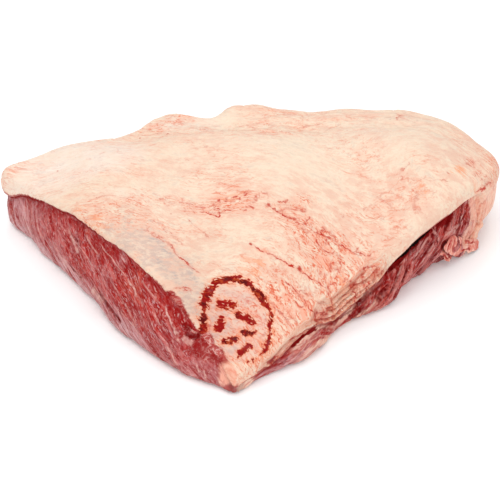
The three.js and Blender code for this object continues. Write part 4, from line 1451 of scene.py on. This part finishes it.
class PICANHA_OT_lean(bpy.types.Operator):
    """Works the lean muscle over the frame's solid"""

    bl_idname = "picanha.lean"
    bl_label = "Cut the lean muscle"

    def execute(self, context):
        settings = context.scene.picanha_lean
        obj = build_lean(settings, context.scene.picanha_stage.seed)
        finish_piece(obj, lean_material(settings), "lean", "lean_muscle")
        return {"FINISHED"}


class PICANHA_OT_cap(bpy.types.Operator):
    """Works the fat cap over the frame's solid"""

    bl_idname = "picanha.cap"
    bl_label = "Lay the fat cap"

    def execute(self, context):
        settings = context.scene.picanha_fat
        obj = build_cap(settings, context.scene.picanha_stage.seed)
        finish_piece(obj, cap_material(settings), "fat", "fat_cap")
        return {"FINISHED"}


class PICANHA_OT_flaps(bpy.types.Operator):
    """Hangs the ruffled flaps of torn tissue at the thick end"""

    bl_idname = "picanha.flaps"
    bl_label = "Hang the torn flaps"

    def execute(self, context):
        obj = build_flaps(context.scene.picanha_flaps)
        finish_piece(obj, flap_material(), "fat")
        return {"FINISHED"}


class PICANHA_OT_stage(bpy.types.Operator):
    """Sets the floor, the soft lights and the camera"""

    bl_idname = "picanha.stage"
    bl_label = "Set the stage"

    def execute(self, context):
        settings = context.scene.picanha_stage
        lay_floor(settings)
        hang_lights(settings)
        place_camera(settings)
        return {"FINISHED"}


def lay_floor(settings):
    half = 3.0
    mesh = bpy.data.meshes.new("floor")
    corners = [(-half, -half, 0), (half, -half, 0), (half, half, 0), (-half, half, 0)]
    mesh.from_pydata(corners, [], [(0, 1, 2, 3)])
    floor = link(bpy.data.objects.new("floor", mesh))
    shade = Shade("plain floor")
    matt = {"Base Color": settings.floor, "Roughness": 0.9, "Specular IOR Level": 0.1}
    shade.feed(shade.tree.nodes["Principled BSDF"], matt)
    mesh.materials.append(shade.material)
    floor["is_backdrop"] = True


def hang_lights(settings):
    world = bpy.data.worlds.new("soft room")
    world.use_nodes = True
    background = world.node_tree.nodes["Background"]
    background.inputs["Color"].default_value = (1, 1, 1, 1)
    background.inputs["Strength"].default_value = 0.66
    bpy.context.scene.world = world
    for name, place, size, share in SOFTBOXES:
        light = bpy.data.lights.new(name, "AREA")
        light.energy = settings.key * share
        light.size = size
        box = link(bpy.data.objects.new(name, light))
        box.location = place
        box.rotation_euler = (-Vector(place)).to_track_quat("-Z", "Y").to_euler()


def place_camera(settings):
    camera = bpy.data.cameras.new("camera")
    camera.lens = settings.lens
    camera.sensor_width = 36
    target = Vector((0.65, -8.46, 19.0)) * MM
    away = Vector((0, -math.cos(settings.elevation), math.sin(settings.elevation)))
    stand = link(bpy.data.objects.new("camera", camera))
    stand.location = target + away * settings.distance
    stand.rotation_euler = (-away).to_track_quat("-Z", "Y").to_euler()
    scene = bpy.context.scene
    scene.camera = stand
    scene.view_settings.view_transform = "Standard"


class PICANHA_PT_panel(bpy.types.Panel):
    """Lists the steps in order, and every size and colour"""

    bl_label = "Picanha"
    bl_idname = "PICANHA_PT_panel"
    bl_space_type = "VIEW_3D"
    bl_region_type = "UI"
    bl_category = "Picanha"

    def draw(self, context):
        for step in STEPS:
            self.layout.operator(step.bl_idname)
        for name, kind in GROUPS.items():
            for key in kind.__annotations__:
                self.layout.prop(getattr(context.scene, name), key)


STEPS = (PICANHA_OT_lean, PICANHA_OT_cap, PICANHA_OT_flaps, PICANHA_OT_stage)
GROUPS = {
    "picanha_lean": PicanhaLean,
    "picanha_fat": PicanhaFat,
    "picanha_flaps": PicanhaFlaps,
    "picanha_stage": PicanhaStage,
}


def register():
    for cls in (*GROUPS.values(), *STEPS, PICANHA_PT_panel):
        bpy.utils.register_class(cls)
    for key, group in GROUPS.items():
        setattr(bpy.types.Scene, key, PointerProperty(type=group))


def unregister():
    for key in GROUPS:
        delattr(bpy.types.Scene, key)
    for cls in (PICANHA_PT_panel, *reversed(STEPS), *GROUPS.values()):
        bpy.utils.unregister_class(cls)


def main():
    register()
    bpy.ops.picanha.lean()
    bpy.ops.picanha.cap()
    bpy.ops.picanha.flaps()
    bpy.ops.picanha.stage()
    sizes = {"cad": CAD_BOX, "visual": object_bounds()}
    sizes = {key: [list(corner) for corner in box] for key, box in sizes.items()}


if __name__ == "__main__":
    main()
